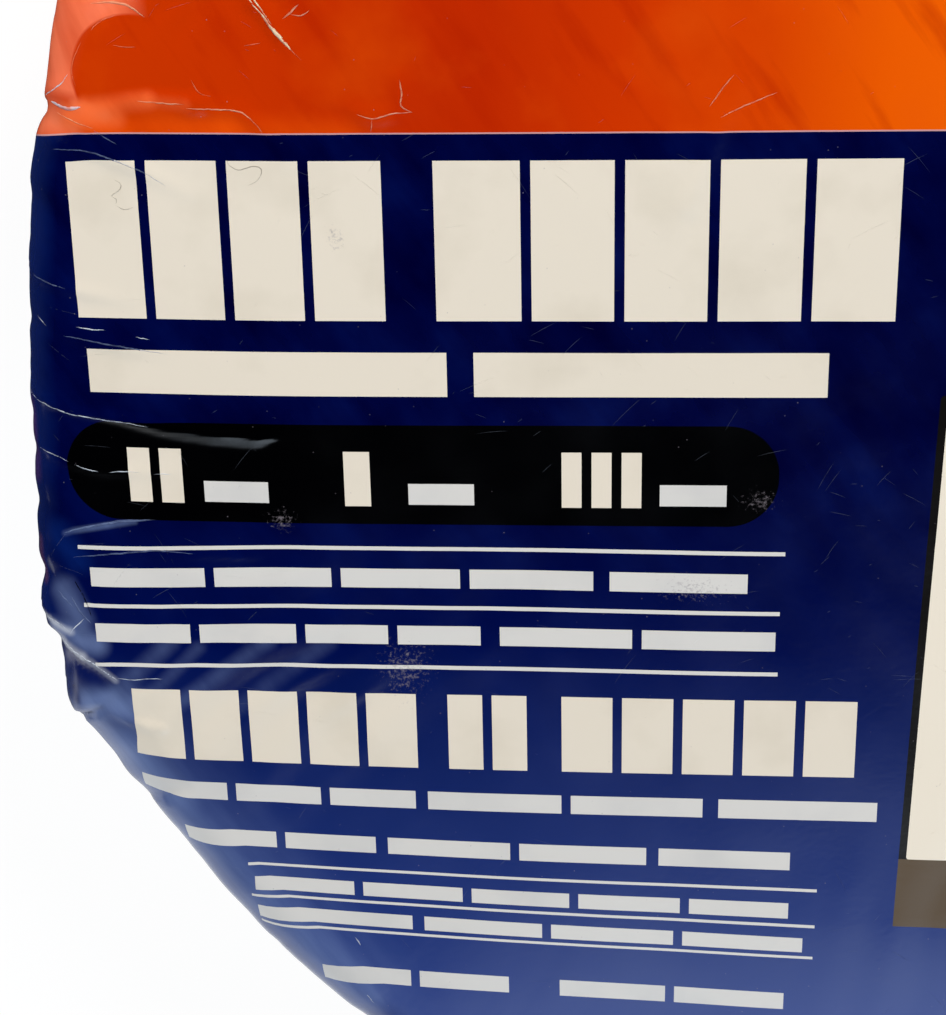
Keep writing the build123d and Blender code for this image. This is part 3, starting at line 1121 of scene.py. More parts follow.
# %% Start and end of a tree
def geometry_tree(name, inputs):
    """A new Geometry Nodes tree with a geometry input and named inputs after it."""
    tree = bpy.data.node_groups.new(name, "GeometryNodeTree")
    tree.interface.new_socket("Geometry", in_out="INPUT", socket_type="NodeSocketGeometry")
    for label, kind in inputs:
        tree.interface.new_socket(label, in_out="INPUT", socket_type="NodeSocket" + kind)
    tree.interface.new_socket("Geometry", in_out="OUTPUT", socket_type="NodeSocketGeometry")
    return tree, tree.nodes.new("NodeGroupInput").outputs


def end_tree(tree, mesh, finish=None):
    """Ends a tree. With a finish, what repeats is made real and the mesh gets its material."""
    if finish is not None:
        mesh = add_node(tree, "GeometryNodeRealizeInstances", {0: mesh}).outputs[0]
        mesh = add_node(tree, "GeometryNodeSetMaterial", {0: mesh, "Material": finish}).outputs[0]
    tree.links.new(mesh, tree.nodes.new("NodeGroupOutput").inputs[0])
    return tree


# %% Run a tree on a path
def run_tree(start, tree, values, name):
    """Runs a tree on an object, and returns its result as a plain mesh object with that name."""
    modifier = start.modifiers.new("grow", "NODES")
    modifier.node_group = tree
    for item in tree.interface.items_tree:
        if item.in_out == "INPUT" and item.name in values:
            modifier[item.identifier] = values[item.name]
    evaluated = start.evaluated_get(bpy.context.evaluated_depsgraph_get())
    mesh = bpy.data.meshes.new_from_object(evaluated)
    mesh.name = name
    start.modifiers.remove(modifier)
    bpy.data.objects.remove(start)
    made = bpy.data.objects.new(name, mesh)
    bpy.context.collection.objects.link(made)
    corners = sum(len(polygon.vertices) - 2 for polygon in mesh.polygons)
    print(name, "has", corners, "triangles and", len(mesh.materials), "material")
    return made


def path_object(paths, label="width"):
    """An object with one chain of edges for each (value, points), to start a tree from."""
    mesh = bpy.data.meshes.new("start")
    chain_points, edges, values = [], [], []
    for value, chain in paths:
        first = len(chain_points)
        chain_points += [(*place, 0.0)[:3] for place in chain]
        edges += [(first + i, first + i + 1) for i in range(len(chain) - 1)]
        values += [value] * len(chain)
    mesh.from_pydata(chain_points, edges, [])
    mesh.attributes.new(label, "FLOAT", "POINT").data.foreach_set("value", values)
    made = bpy.data.objects.new("start", mesh)
    bpy.context.collection.objects.link(made)
    return made


# %% Field helpers
def here_in(tree):
    """The position of each point."""
    return tree.nodes.new("GeometryNodeInputPosition").outputs[0]


def attribute(tree, name, kind="FLOAT"):
    """A named attribute."""
    return add_node(tree, "GeometryNodeInputNamedAttribute", {"Name": name}, data_type=kind).outputs[0]


def captured(tree, geometry, items):
    """Captures fields on the points of a geometry. Returns the geometry and the captured fields."""
    node = tree.nodes.new("GeometryNodeCaptureAttribute")
    tree.links.new(geometry, node.inputs[0])
    fields = []
    for label, kind, source in items:
        node.capture_items.new(kind, label)
        tree.links.new(source, node.inputs[label])
        fields.append(node.outputs[label])
    return node.outputs[0], fields


def moved(tree, geometry, offset):
    """The geometry with its points moved by an offset."""
    return add_node(tree, "GeometryNodeSetPosition", {"Geometry": geometry, "Offset": offset}).outputs[0]


def with_print(tree, mesh, on_print):
    """The mesh with its places on the print stored as its print map."""
    inputs = {"Geometry": mesh, "Name": "print", "Value": on_print}
    as_map = {"data_type": "FLOAT2", "domain": "CORNER"}
    return add_node(tree, "GeometryNodeStoreNamedAttribute", inputs, **as_map).outputs[0]


def thin_at_ends(tree):
    """0 at both ends of a line and 1 at its middle."""
    factor = tree.nodes.new("GeometryNodeSplineParameter").outputs["Factor"]
    return sums(tree, "MULTIPLY", sums(tree, "MULTIPLY", factor, sums(tree, "SUBTRACT", 1.0, factor)), 4.0)


# %% [markdown]
# ## Lay a line on the film
#
# Creases whiten a printed film along thin lines. Painting them in the shader would need many nodes and
# blurs close up, and drawing them by hand in 3D is slow. Here a line is drawn in print coordinates, and
# the tree looks up where that print lies on the skin: each point moves to its place, and the line gets a
# flat lens section that lies along the film, half sunk into it.

# %% The laying group
def laying_group():
    """A node group that lays curves, drawn in print millimetres, on the film."""
    tree, entry = geometry_tree("lay_on_film", [
        ("Film", "Object"), ("Half width", "Float"), ("Flatness", "Float"), ("Lift", "Float"),
    ])
    film_node = add_node(tree, "GeometryNodeObjectInfo", {"Object": entry["Film"]})
    on_map = vectors(tree, "SCALE", here_in(tree), scale=MM)
    found = []
    for source in (here_in(tree), tree.nodes.new("GeometryNodeInputNormal").outputs[0]):
        found.append(add_node(tree, "GeometryNodeSampleUVSurface", {
            "Mesh": film_node.outputs["Geometry"], "Value": source,
            "UV Map": attribute(tree, "print", "FLOAT_VECTOR"), "Sample UV": on_map,
        }, data_type="FLOAT_VECTOR").outputs)
    curve, (on_print, place, normal, valid) = captured(tree, entry["Geometry"], [
        ("print", "VECTOR", on_map),
        ("place", "VECTOR", found[0][0]),
        ("normal", "VECTOR", found[1][0]),
        ("valid", "BOOLEAN", found[0][1]),
    ])
    off_film = add_node(tree, "FunctionNodeBooleanMath", {0: valid}, operation="NOT").outputs[0]
    curve = add_node(tree, "GeometryNodeDeleteGeometry", {0: curve, 1: off_film}, domain="POINT").outputs[0]
    lifted = vectors(tree, "ADD", place, vectors(tree, "SCALE", normal, scale=entry["Lift"]))
    curve = add_node(tree, "GeometryNodeSetPosition", {"Geometry": curve, "Position": lifted}).outputs[0]
    upright = {"Curve": curve, "Normal": normal}
    curve = add_node(tree, "GeometryNodeSetCurveNormal", upright, mode="FREE").outputs[0]
    lens = add_node(tree, "GeometryNodeCurvePrimitiveCircle", {"Resolution": 4, "Radius": 1.0}).outputs[0]
    flat = add_node(tree, "ShaderNodeCombineXYZ", {0: entry["Flatness"], 1: 1.0, 2: 1.0}).outputs[0]
    lens = add_node(tree, "GeometryNodeTransform", {0: lens, "Scale": flat}).outputs[0]
    mesh = add_node(tree, "GeometryNodeCurveToMesh", {
        "Curve": curve, "Profile Curve": lens, "Scale": entry["Half width"], "Fill Caps": True,
    }).outputs[0]
    return end_tree(tree, with_print(tree, mesh, on_print))


lay_on_film = laying_group()


# %% [markdown]
# A stress line is thin at both ends and a little ragged. Its tree smooths the path, divides it evenly,
# shakes it sideways by a fraction of a millimetre, narrows it towards its ends and lays it on the film.

# %% Tree for stress lines
def stress_tree():
    """Lines along given paths, with tapered ends and a small shake."""
    tree, entry = geometry_tree("stress_lines", [
        ("Film", "Object"), ("Step", "Float"), ("Shake", "Float"), ("Flatness", "Float"), ("Lift", "Float"),
        ("Finish", "Material"),
    ])
    curve = add_node(tree, "GeometryNodeMeshToCurve", {0: entry["Geometry"]}).outputs[0]
    curve = add_node(tree, "GeometryNodeCurveSplineType", {0: curve}, spline_type="CATMULL_ROM").outputs[0]
    even = {0: curve, "Length": entry["Step"]}
    curve = add_node(tree, "GeometryNodeResampleCurve", even, mode="LENGTH").outputs[0]
    uneven = noise(tree, here_in(tree), 0.9, 2.0)
    shaken = vectors(tree, "SUBTRACT", uneven["Color"], (0.5, 0.5, 0.5))
    shaken = vectors(tree, "SCALE", shaken, scale=entry["Shake"])
    curve = moved(tree, curve, vectors(tree, "MULTIPLY", shaken, (1, 1, 0)))
    taper = sums(tree, "POWER", thin_at_ends(tree), 0.6)
    taper = sums(tree, "MULTIPLY", taper, spread(tree, uneven["Fac"], 0.35, 0.65, 0.45, 1.1))
    half = sums(tree, "MULTIPLY", sums(tree, "MULTIPLY", attribute(tree, "width"), MM / 2), taper)
    laid = add_node(tree, "GeometryNodeGroup", {
        "Geometry": curve, "Film": entry["Film"], "Half width": half,
        "Flatness": entry["Flatness"], "Lift": entry["Lift"],
    }, node_tree=lay_on_film).outputs[0]
    return end_tree(tree, laid, entry["Finish"])


stress_lines = stress_tree()


# %% Finishes of stressed film, and of painted highlight and painted shade lines
stress_finishes = {
    "white": printed_film("stress_white", print_colour(226, 234, 246), 0.85),
    "bright": printed_film("painted_highlight_streaks", print_colour(255, 238, 200), 0.95),
    "warm": printed_film("stress_warm", print_colour(255, 208, 168), 0.5),
    "faint": printed_film("stress_faint", print_colour(255, 160, 118), 0.42),
    "shade": printed_film("painted_shade_lines", print_colour(150, 138, 122), 0.7),
    "blue": printed_film("stress_blue", print_colour(150, 170, 215), 0.32),
    "dark": printed_film("painted_groove_shade", print_colour(2, 4, 24), 0.9),
}

# %% Places of the stress lines and of the painted highlight and shade lines
# Each line: its width in millimetres and its path on the print, by tone
stress_paths = {
    "white": [
        (1.1, [(-118.6, 49.6), (-117.0, 49.3), (-114.7, 48.9), (-112.9, 49.3)]),
        (0.35, [(-120.4, 50.2), (-117.6, 50.9), (-115.6, 52.0), (-114.4, 53.4)]),
        (0.34, [
            (-127.6, 5.5), (-124.6, 4.9), (-121.5, 4.0), (-118.4, 3.0), (-113.5, 2.3), (-109.0, 1.9),
            (-106.5, 1.5),
        ]),
        (0.22, [(-123.4, 17.7), (-122.2, 16.9), (-121.2, 16.3)]),
        (0.30, [(-116.6, 16.8), (-114.6, 16.4), (-112.1, 16.3)]),
        (0.24, [(-107.5, 15.4), (-106.2, 15.1), (-105.3, 14.9)]),
        (0.24, [(-124.7, -2.7), (-121.5, -3.6), (-119.6, -4.6)]),
        (0.30, [(-118.7, -5.1), (-117.0, -5.8), (-115.0, -6.1)]),
        (0.26, [(-113.4, -6.2), (-111.0, -6.0), (-108.6, -6.0)]),
        (0.18, [(-106.4, -6.3), (-104.8, -6.2), (-103.4, -6.2)]),
        (0.35, [(-128.0, -29.4), (-126.3, -30.7), (-123.8, -31.4), (-122.0, -33.1)]),
        (0.25, [(-122.2, -33.4), (-121.2, -32.2), (-119.6, -30.8)]),
        (0.50, [(-125.6, -33.6), (-123.7, -35.0), (-120.6, -37.1), (-118.2, -39.2), (-115.2, -41.6)]),
        (0.22, [(-115.2, -41.2), (-112.5, -41.4), (-110.0, -41.0), (-107.6, -41.1)]),
        (0.26, [(-78.9, -88.0), (-78.0, -89.6)]),
        (0.26, [(-77.4, -99.2), (-76.1, -101.0)]),
    ],
    # Painted highlights: a bright streak along a crease, partly film whitened by stress
    "bright": [
        (0.40, [(-90.2, 68.0), (-88.2, 65.6), (-86.4, 63.3), (-84.6, 61.2)]),
        (0.40, [(-89.2, 68.2), (-87.4, 65.6), (-85.6, 63.0), (-84.2, 61.0)]),
        (1.00, [(-85.8, 62.6), (-84.2, 60.5), (-82.8, 58.8), (-81.6, 57.4)]),
    ],
    "warm": [
        (0.50, [(-82.7, 61.7), (-81.4, 62.8), (-80.3, 63.7)]),
        (0.30, [(-81.6, 62.4), (-80.0, 62.2), (-78.8, 62.9)]),
        (0.34, [(-97.3, 49.4), (-93.5, 49.2), (-89.6, 48.9), (-87.5, 47.3), (-86.3, 45.8)]),
        (0.34, [(-72.9, 48.6), (-70.5, 47.9), (-67.5, 48.6), (-64.7, 48.7)]),
        (0.40, [(-66.5, 53.4), (-66.2, 51.2), (-66.4, 49.7), (-64.9, 48.7)]),
        (0.26, [(-70.5, 47.9), (-70.9, 45.9)]),
        (0.30, [(-117.4, 48.4), (-115.4, 47.8), (-113.4, 47.1), (-111.2, 46.4)]),
        (0.60, [(-110.4, 63.6), (-107.0, 63.9), (-104.5, 63.4), (-102.6, 62.0)]),
        (0.34, [(-104.4, 50.4), (-100.9, 50.1), (-97.4, 49.9)]),
        (0.30, [(-23.2, 49.2), (-21.4, 51.8), (-19.8, 53.7)]),
        (0.30, [(-21.7, 47.7), (-17.6, 49.6), (-13.9, 51.1)]),
    ],
    "faint": [
        (0.24, [(-107.5, 58.2), (-105.8, 57.9), (-104.0, 57.9)]),
        (0.24, [(-88.6, 58.0), (-86.0, 58.4)]),
        (0.24, [(-82.4, 58.4), (-81.2, 57.0), (-80.2, 56.0)]),
        (0.28, [(-96.4, 53.4), (-95.8, 52.2), (-95.0, 51.3), (-93.6, 51.0)]),
        (0.22, [(-113.4, 51.9), (-113.8, 54.7), (-112.1, 58.2)]),
        (0.30, [(-110.6, 59.8), (-108.9, 61.4), (-106.7, 62.3)]),
        (0.22, [(-94.4, 56.4), (-93.6, 56.1)]),
    ],
    # Painted shade: dark lines beside a lifted flake of ink and round a small blister, where their shadows
    # fall
    "shade": [
        (0.26, [
            (-108.9, 38.9), (-107.9, 38.3), (-108.2, 37.4), (-109.5, 36.6), (-108.7, 36.0), (-109.0, 35.2),
        ]),
        (0.20, [(-109.0, 35.2), (-107.6, 34.6), (-106.2, 35.0)]),
        (0.22, [
            (-91.9, 42.0), (-91.4, 41.0), (-90.0, 40.5), (-88.2, 41.0), (-86.9, 40.6), (-87.4, 39.2),
            (-89.2, 38.2),
        ]),
        (0.30, [(-85.9, 40.2), (-85.3, 39.8)]),
    ],
    "blue": [
        (0.55, [(-121.6, -16.1), (-118.2, -15.4), (-114.8, -14.7), (-111.2, -14.1), (-107.4, -13.8)]),
        (0.35, [
            (-118.1, 43.7), (-115.2, 43.6), (-112.4, 43.1), (-109.9, 42.3), (-104.7, 40.3), (-101.0, 38.0),
        ]),
        (0.25, [(-111.3, 46.2), (-109.8, 45.2), (-107.9, 44.0)]),
        (0.35, [(-123.4, 23.8), (-120.2, 23.2), (-117.6, 22.6)]),
        (0.35, [(-118.6, 15.4), (-112.0, 14.2), (-107.0, 13.4), (-102.7, 12.8)]),
        (0.30, [(-117.0, -15.1), (-114.6, -14.7), (-111.0, -14.2), (-106.5, -13.8)]),
        (0.40, [(-120.6, -20.4), (-114.0, -19.6), (-107.0, -19.0), (-101.0, -19.6)]),
        (0.40, [(-121.4, -27.0), (-120.2, -29.6), (-118.6, -31.6)]),
        (0.30, [(-123.6, -25.6), (-121.2, -29.0)]),
    ],
    # Painted shade: a dark line in the bottom of a groove
    "dark": [
        (0.35, [(-120.9, -24.1), (-119.4, -27.4), (-118.4, -30.4)]),
    ],
}
line_count = sum(len(paths) for paths in stress_paths.values())
print(line_count, "stress lines in", len(stress_paths), "tones")

# %% Lay the stress lines
line_lift, line_flatness, line_shake, line_step = 0.01 * MM, 0.08, 0.35, 0.45
for tone, paths in stress_paths.items():
    lines = run_tree(path_object(paths), stress_lines, {
        "Film": film_skin, "Step": line_step, "Shake": line_shake, "Flatness": line_flatness,
        "Lift": line_lift, "Finish": stress_finishes[tone],
    }, "stress_lines_" + tone)
    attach(lines, "root")
    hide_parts("film_bag")

# %% [markdown]
# ## Fine scratches
#
# A handled pack is covered in hair-thin scratches. They are short arcs with no order, so the tree
# scatters points over the print, keeps those where a slow noise is high, puts an arc of random length
# and direction on each, and lays them all on the film.

# %% Tree for the scratches
def scratch_tree():
    """Short arcs, scattered in drifts over the print."""
    tree, entry = geometry_tree("scratches", [
        ("Film", "Object"), ("Reach", "Float"), ("Density", "Float"), ("Shortest", "Float"),
        ("Longest", "Float"), ("Half width", "Float"), ("Flatness", "Float"), ("Lift", "Float"),
        ("Seed", "Int"), ("Finish", "Material"),
    ])
    size = sums(tree, "MULTIPLY", entry["Reach"], 2.0)
    sheet = add_node(tree, "GeometryNodeMeshGrid", {0: size, 1: size, 2: 2, 3: 2}).outputs[0]
    scatter = add_node(tree, "GeometryNodeDistributePointsOnFaces", {
        "Mesh": sheet, "Density": entry["Density"], "Seed": entry["Seed"],
    }).outputs[0]
    drift = noise(tree, here_in(tree), 0.022, 1.0)["Fac"]
    chance = add_node(tree, "FunctionNodeRandomValue", {"Seed": 5}, data_type="FLOAT").outputs[1]
    chance = sums(tree, "ADD", drift, sums(tree, "MULTIPLY", chance, 0.16))
    too_few = sums(tree, "LESS_THAN", chance, 0.58)
    kept = add_node(tree, "GeometryNodeDeleteGeometry", {0: scatter, 1: too_few}, domain="POINT").outputs[0]
    arc = add_node(tree, "GeometryNodeCurveQuadraticBezier", {
        "Resolution": 6, "Start": (-0.5, 0, 0), "Middle": (0.0, 0.04, 0), "End": (0.5, 0, 0),
    }).outputs[0]
    spin = add_node(tree, "FunctionNodeRandomValue", {0: (0, 0, -1.1), 1: (0, 0, 1.1), "Seed": 1},
                    data_type="FLOAT_VECTOR").outputs[0]
    pick = add_node(tree, "FunctionNodeRandomValue", {"Seed": 2}, data_type="FLOAT").outputs[1]
    span = sums(tree, "SUBTRACT", entry["Longest"], entry["Shortest"])
    length = sums(tree, "MULTIPLY", sums(tree, "POWER", pick, 2.5), span)
    length = sums(tree, "ADD", entry["Shortest"], length)
    arcs = add_node(tree, "GeometryNodeInstanceOnPoints", {
        "Points": kept, "Instance": arc, "Rotation": spin, "Scale": length,
    }).outputs[0]
    arcs = add_node(tree, "GeometryNodeRealizeInstances", {0: arcs}).outputs[0]
    laid = add_node(tree, "GeometryNodeGroup", {
        "Geometry": arcs, "Film": entry["Film"], "Flatness": entry["Flatness"], "Lift": entry["Lift"],
        "Half width": sums(tree, "MULTIPLY", entry["Half width"], thin_at_ends(tree)),
    }, node_tree=lay_on_film).outputs[0]
    return end_tree(tree, laid, entry["Finish"])


# %% Scatter the scratches
scratch_start = path_object([(1.0, [(0, 0), (1, 0)])])
scratches = run_tree(scratch_start, scratch_tree(), {
    "Film": film_skin, "Reach": 165.0, "Density": 0.022, "Shortest": 0.6, "Longest": 7.0,
    "Half width": 0.03 * MM, "Flatness": 0.1, "Lift": line_lift, "Seed": 4,
    "Finish": printed_film("scratched_film", (0.04, 0.045, 0.06), 1.0, "ADD"),
}, "scratches")
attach(scratches, "root")
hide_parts("film_bag")

# %% [markdown]
# ## Welds and ears
#
# The ends of the film tube are welded flat and cut off, which leaves a thin crimped fin half way up
# both round ends. Where a fin meets a straight side, the spare film stands off as a small folded ear.
# The fin follows the outline, so its tree sweeps a thin strip along a path and presses the crimps into
# it. The four ears repeat one folded triangle.

# %% Tree for a weld fin
def weld_tree():
    """A thin strip along a path, with crimps across it, a slow wave and a ragged edge."""
    tree, entry = geometry_tree("weld_fin", [
        ("Reach", "Float"), ("Thickness", "Float"), ("Step", "Float"), ("Crimp pitch", "Float"),
        ("Crimp height", "Float"), ("Wave", "Float"), ("Raggedness", "Float"), ("Finish", "Material"),
    ])
    curve = add_node(tree, "GeometryNodeMeshToCurve", {0: entry["Geometry"]}).outputs[0]
    even = {0: curve, "Length": entry["Step"]}
    curve = add_node(tree, "GeometryNodeResampleCurve", even, mode="LENGTH").outputs[0]
    curve, (length, start, facing) = captured(tree, curve, [
        ("length", "FLOAT", tree.nodes.new("GeometryNodeSplineParameter").outputs["Length"]),
        ("start", "VECTOR", here_in(tree)),
        ("facing", "VECTOR", attribute(tree, "outward", "FLOAT_VECTOR")),
    ])
    upright = {"Curve": curve, "Normal": facing}
    curve = add_node(tree, "GeometryNodeSetCurveNormal", upright, mode="FREE").outputs[0]
    flat = {0: entry["Reach"], 1: entry["Thickness"]}
    strip = add_node(tree, "GeometryNodeCurvePrimitiveQuadrilateral", flat).outputs[0]
    strip = add_node(tree, "GeometryNodeSubdivideCurve", {0: strip, 1: 1}).outputs[0]
    swept = {"Curve": curve, "Profile Curve": strip, "Fill Caps": True}
    shell = add_node(tree, "GeometryNodeCurveToMesh", swept).outputs[0]

    # 0 on the inner half of the strip, which is in the wall, and 1 at its outer edge
    out = vectors(tree, "DOT_PRODUCT", vectors(tree, "SUBTRACT", here_in(tree), start), facing)
    outer = spread(tree, out, 0.0, sums(tree, "MULTIPLY", entry["Reach"], 0.5))
    crimp = sums(tree, "DIVIDE", sums(tree, "MULTIPLY", length, 2 * math.pi), entry["Crimp pitch"])
    crimp = sums(tree, "MULTIPLY", sums(tree, "SINE", crimp), entry["Crimp height"])
    slow = sums(tree, "SUBTRACT", noise(tree, here_in(tree), 55.0, 2.0)["Fac"], 0.5)
    lift = sums(tree, "ADD", crimp, sums(tree, "MULTIPLY", slow, entry["Wave"]))
    lift = add_node(tree, "ShaderNodeCombineXYZ", {2: sums(tree, "MULTIPLY", lift, outer)}).outputs[0]
    ragged = sums(tree, "SUBTRACT", noise(tree, start, 140.0, 2.0)["Fac"], 0.5)
    ragged = sums(tree, "MULTIPLY", sums(tree, "MULTIPLY", ragged, entry["Raggedness"]), outer)
    shell = moved(tree, shell, vectors(tree, "ADD", vectors(tree, "SCALE", facing, scale=ragged), lift))
    on_print = vectors(tree, "MULTIPLY_ADD", here_in(tree), (1.0, 1.0, 0.0), (back_print_shift * MM, 0, 0))
    return end_tree(tree, with_print(tree, shell, on_print), entry["Finish"])


# %% Sweep the two fins
ear_angle = 21.0
fin_reach, fin_sunk = 3.6, 1.4
fin_middle = dented_reach(seal_height) + seal_swell * toward_end + fin_reach / 2 - fin_sunk / 2


def fin_path(chosen):
    """The middle line of a fin along these columns, in metres."""
    return [(fin_middle[c] * math.cos(turn[c]) * MM, fin_middle[c] * math.sin(turn[c]) * MM, seal_height * MM)
            for c in chosen]


between_ears = (np.abs(from_left) > ear_angle) & (np.abs(from_left) < 180 - ear_angle)
fin_columns = [np.nonzero(between_ears & (np.sin(turn) * end > 0))[0] for end in (1, -1)]
fin_start = path_object([(1.0, fin_path(chosen)) for chosen in fin_columns])
fin_outward = [(outward[c][0], outward[c][1], 0.0) for chosen in fin_columns for c in chosen]
fin_facing = fin_start.data.attributes.new("outward", "FLOAT_VECTOR", "POINT")
fin_facing.data.foreach_set("vector", np.ravel(fin_outward))
weld_fins = run_tree(fin_start, weld_tree(), {
    "Reach": (fin_reach + fin_sunk) * MM, "Thickness": 0.35 * MM, "Step": 0.5 * MM, "Crimp pitch": 2.4 * MM,
    "Crimp height": 0.16 * MM, "Wave": 5.0 * MM, "Raggedness": 4.0 * MM, "Finish": film,
}, "weld_fins")
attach(weld_fins, "root")
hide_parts("film_bag")

# %% One folded ear
ear_width, ear_length, ear_base, ear_thickness = 22.0, 12.0, 128.0, 0.4
ear_rows, ear_steps = 12, 16


def ear_sheet():
    """A small folded triangle of film along +X, with its base at the axis distance ear_base."""
    corner_places = []
    for row in range(ear_rows + 1):
        out = row / ear_rows
        half = ear_width / 2 * (1 - out) ** 0.75 + 0.25
        for step in range(ear_steps + 1):
            across = 2 * step / ear_steps - 1
            sag = 1.6 * out**2 + 0.9 * math.sin(across * 5.0 + 1.0) * out * (1 - 0.4 * out)
            corner_places.append(
                ((ear_base + ear_length * out) * MM, across * half * MM, (seal_height + sag) * MM)
            )
    quads = []
    for row in range(ear_rows):
        for step in range(ear_steps):
            a = row * (ear_steps + 1) + step
            quads.append((a, a + ear_steps + 1, a + ear_steps + 2, a + 1))
    mesh = bpy.data.meshes.new("ear")
    mesh.from_pydata(corner_places, [], quads)
    ear = bpy.data.objects.new("ear", mesh)
    bpy.context.collection.objects.link(ear)
    mesh.materials.append(film)
    solid = ear.modifiers.new("thickness", "SOLIDIFY")
    solid.thickness = ear_thickness * MM
    solid.offset = 0.0
    return ear


# %% Tree for the ears
def ear_tree():
    """Puts the ear on every point, turned to face outwards, folds it and gives it its print."""
    tree, entry = geometry_tree("ears", [("Ear", "Object"), ("Unevenness", "Float"), ("Finish", "Material")])
    ear = add_node(tree, "GeometryNodeObjectInfo", {"Object": entry["Ear"]}).outputs["Geometry"]
    spin = add_node(tree, "ShaderNodeCombineXYZ", {2: attribute(tree, "facing")}).outputs[0]
    ears = add_node(tree, "GeometryNodeInstanceOnPoints", {
        "Points": entry["Geometry"], "Instance": ear, "Rotation": spin,
    }).outputs[0]
    ears = add_node(tree, "GeometryNodeRealizeInstances", {0: ears}).outputs[0]

    # Past its base each ear is bent in and down, by its own share
    level = vectors(tree, "MULTIPLY", here_in(tree), (1, 1, 0))
    past_base = sums(tree, "SUBTRACT", vectors(tree, "LENGTH", level), ear_base * MM)
    past_base = sums(tree, "MAXIMUM", past_base, 0.0)
    inward = vectors(tree, "NORMALIZE", level)
    inward = vectors(tree, "SCALE", inward, scale=sums(tree, "MULTIPLY", past_base, -0.5))
    down = add_node(tree, "ShaderNodeCombineXYZ", {2: sums(tree, "MULTIPLY", past_base, -1.0)}).outputs[0]
    bent = vectors(tree, "SCALE", vectors(tree, "ADD", inward, down), scale=attribute(tree, "fold"))
    ears = moved(tree, ears, bent)

    shake = vectors(tree, "SUBTRACT", noise(tree, here_in(tree), 160.0, 1.0)["Color"], (0.5, 0.5, 0.5))
    ears = moved(tree, ears, vectors(tree, "SCALE", shake, scale=entry["Unevenness"]))
    # The print is stretched along Y here, so that the line between its fields passes beside the ears
    on_print = vectors(tree, "MULTIPLY_ADD", here_in(tree), (1.0, 1.35, 0.0), (back_print_shift * MM, 0, 0))
    return end_tree(tree, with_print(tree, ears, on_print), entry["Finish"])


# %% Put an ear at each corner
ear = ear_sheet()
ear_facings = [math.radians(angle) for angle in (ear_angle, 180 - ear_angle, 180 + ear_angle, -ear_angle)]
ear_folds = [0.2, 1.3, 0.4, -0.1]
ear_start = path_object([(facing, [(0.0, 0.0)]) for facing in ear_facings], "facing")
ear_start.data.attributes.new("fold", "FLOAT", "POINT").data.foreach_set("value", ear_folds)
ears = run_tree(ear_start, ear_tree(), {"Ear": ear, "Unevenness": 2.4 * MM, "Finish": film}, "film_ears")
bpy.data.objects.remove(ear)
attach(ears, "root")
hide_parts("film_bag")

# %% [markdown]
# ## The roll inside
#
# The CAD roll is sealed in the bag and stays as it is. It gets the finish of the real strip, because a
# part that is reused may be cut open: pale yellow wool with fine fibres and soft tufts, quite matt.

# %% Material of the wound wool
def glass_wool():
    """Matt yellow glass wool, of fine fibres in soft tufts."""
    material = bpy.data.materials.new("glass_wool")
    material.use_nodes = True
    tree = material.node_tree
    tree.nodes.clear()
    place = add_node(tree, "ShaderNodeTexCoord").outputs["Object"]
    fibres = sums(tree, "MULTIPLY", noise(tree, place, 900.0, 5.0)["Fac"], 0.6)
    tufts = sums(tree, "MULTIPLY", noise(tree, place, 120.0, 3.0)["Fac"], 0.4)
    blend = sums(tree, "ADD", fibres, tufts)
    colour = ramp(tree, blend, [(0.3, (0.62, 0.48, 0.18)), (0.5, (0.8, 0.66, 0.3)), (0.7, (0.9, 0.8, 0.5))])
    bump = add_node(tree, "ShaderNodeBump", {"Height": blend, "Strength": 0.6, "Distance": 0.0006}).outputs[0]
    shader = add_node(tree, "ShaderNodeBsdfPrincipled", {
        "Base Color": colour, "Roughness": 0.95, "Normal": bump, "Specular IOR Level": 0.2,
    })
    add_node(tree, "ShaderNodeOutputMaterial", {0: shader.outputs[0]})
    return material


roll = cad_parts["pipe_wrap_roll"]
if not roll.material_slots:
    roll.data.materials.append(None)
for material_slot in roll.material_slots:
    material_slot.material = glass_wool()
print("the roll has", len(roll.data.polygons), "faces from the CAD model")

# %% [markdown]
# ## Floor and light
#
# The pack was pictured on white, in soft room light: dark above, and one broad bright window low beyond
# the bottom of the print. Gloss film shows what it mirrors, so the world is painted as that room, with
# sky-blue light in the window, and the white that the camera sees behind the pack is a colour of its
# own. The floor does the same: the camera sees it white, and the film mirrors a pool of window light on
# it. Two soft lamps behind the camera fill in, without a mirror image in the face.

# %% Floor
floor_mesh = bpy.data.meshes.new("floor")
floor_half = 6.0
floor_glow, floor_glow_share = 1.07, 0.85
floor_corners = [(-1, -1), (1, -1), (1, 1), (-1, 1)]
floor_mesh.from_pydata([(x * floor_half, y * floor_half, 0) for x, y in floor_corners], [], [(0, 1, 2, 3)])
floor = bpy.data.objects.new("floor", floor_mesh)
bpy.context.collection.objects.link(floor)
floor_material = bpy.data.materials.new("floor_white")
floor_material.use_nodes = True
floor_shader = floor_material.node_tree.nodes["Principled BSDF"]
floor_shader.inputs["Base Color"].default_value = (0.92, 0.92, 0.92, 1)
floor_shader.inputs["Roughness"].default_value = 0.9
floor_shader.inputs["Specular IOR Level"].default_value = 0.1
tree = floor_material.node_tree
path = add_node(tree, "ShaderNodeLightPath")

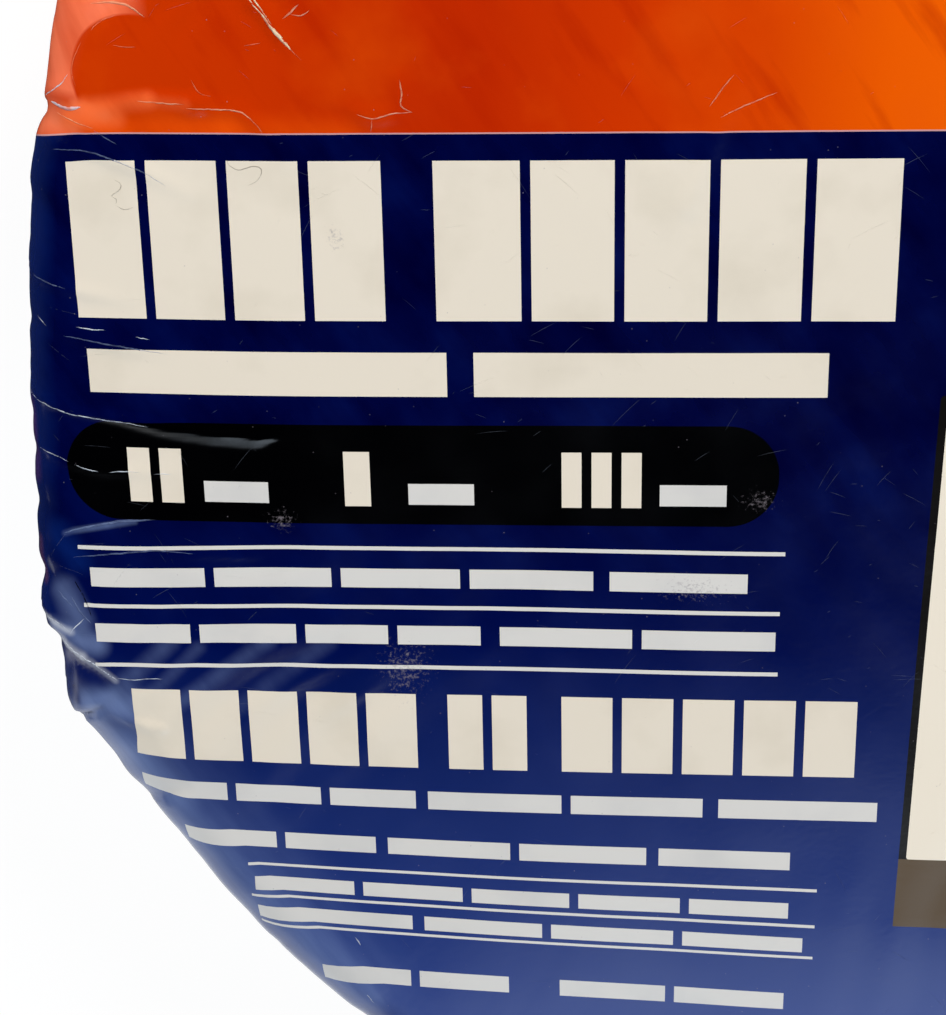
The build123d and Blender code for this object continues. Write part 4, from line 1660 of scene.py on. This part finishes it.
# The camera sees mostly plain white, and a share of the lit floor that keeps the pack's shadow
glow_share = sums(tree, "MULTIPLY", path.outputs["Is Camera Ray"], floor_glow_share)
glow = add_node(tree, "ShaderNodeEmission", {0: (1, 1, 1, 1), 1: floor_glow})
seen_shaders = {0: glow_share, 1: floor_shader.outputs[0], 2: glow.outputs[0]}
seen_floor = add_node(tree, "ShaderNodeMixShader", seen_shaders)

# What mirrors it sees light only in front of the window
floor_place = add_node(tree, "ShaderNodeTexCoord").outputs["Object"]
toward_window = vectors(tree, "DOT_PRODUCT", floor_place, (0.4, -1.0, 0.0))
pool_strength = spread(tree, toward_window, 0.0, 0.09, 0.02, 1.0, curve="SMOOTHSTEP")
pool = add_node(tree, "ShaderNodeEmission", {0: (0.96, 0.98, 1.0, 1), 1: pool_strength})
mirrored_floor = {0: path.outputs["Is Glossy Ray"], 1: seen_floor.outputs[0], 2: pool.outputs[0]}
floor_mix = add_node(tree, "ShaderNodeMixShader", mirrored_floor)
tree.links.new(floor_mix.outputs[0], tree.nodes["Material Output"].inputs[0])
floor_mesh.materials.append(floor_material)

# %% World
world = bpy.data.worlds.new("studio")
bpy.context.scene.world = world
world.use_nodes = True
tree = world.node_tree
tree.nodes.clear()
window_facing = Vector((0.3, -0.9, 0.42)).normalized()
background_white = 0.94
toward = add_node(tree, "ShaderNodeTexCoord").outputs["Generated"]
nearness = vectors(tree, "DOT_PRODUCT", toward, window_facing)
window = ramp(tree, nearness, [(0.74, 0.0), (0.79, 0.08), (0.82, 0.5), (0.86, 1.5), (0.93, 2.0)])

# The wall round the window is bright near the floor, and the other walls hardly show
_, depth, height = add_node(tree, "ShaderNodeSeparateXYZ", {0: toward}).outputs
walls = ramp(tree, height, [(0.0, 1.1), (0.12, 0.95), (0.3, 0.4), (0.5, 0.1), (0.75, 0.015), (0.9, 0.0)])
walls = sums(tree, "MULTIPLY", walls, spread(tree, depth, -0.48, -0.82, 0.03, 1.0))
room = sums(tree, "MAXIMUM", window, walls)
air = blend_colours(tree, spread(tree, nearness, 0.76, 0.84), (0.92, 0.96, 1.0), (0.74, 0.86, 1.0))

# The camera sees plain white
seen = add_node(tree, "ShaderNodeLightPath").outputs["Is Camera Ray"]
strength = add_node(tree, "ShaderNodeMix", {0: seen, 2: room, 3: background_white},
                    data_type="FLOAT").outputs[0]
air = blend_colours(tree, seen, air, (1.0, 1.0, 1.0))
background = add_node(tree, "ShaderNodeBackground", {0: air, 1: strength})
add_node(tree, "ShaderNodeOutputWorld", {0: background.outputs[0]})


# %% Lamps
def soft_lamp(name, place, aim, size, watts):
    """A square area lamp that points at a place."""
    data = bpy.data.lights.new(name, "AREA")
    data.size = size
    data.energy = watts
    data.color = (1.0, 0.975, 0.945)
    lamp = bpy.data.objects.new(name, data)
    lamp.location = place
    lamp.rotation_euler = (Vector(aim) - Vector(place)).to_track_quat("-Z", "Y").to_euler()
    lamp.visible_glossy = False
    bpy.context.collection.objects.link(lamp)
    return lamp


soft_lamp("left_lamp", (-1.1, 0.9, 1.0), (0, 0, 0.04), 0.8, 18.0)
soft_lamp("right_lamp", (0.8, 0.85, 0.9), (0, 0, 0.04), 0.7, 15.4)
bpy.context.scene.view_settings.view_transform = "Standard"
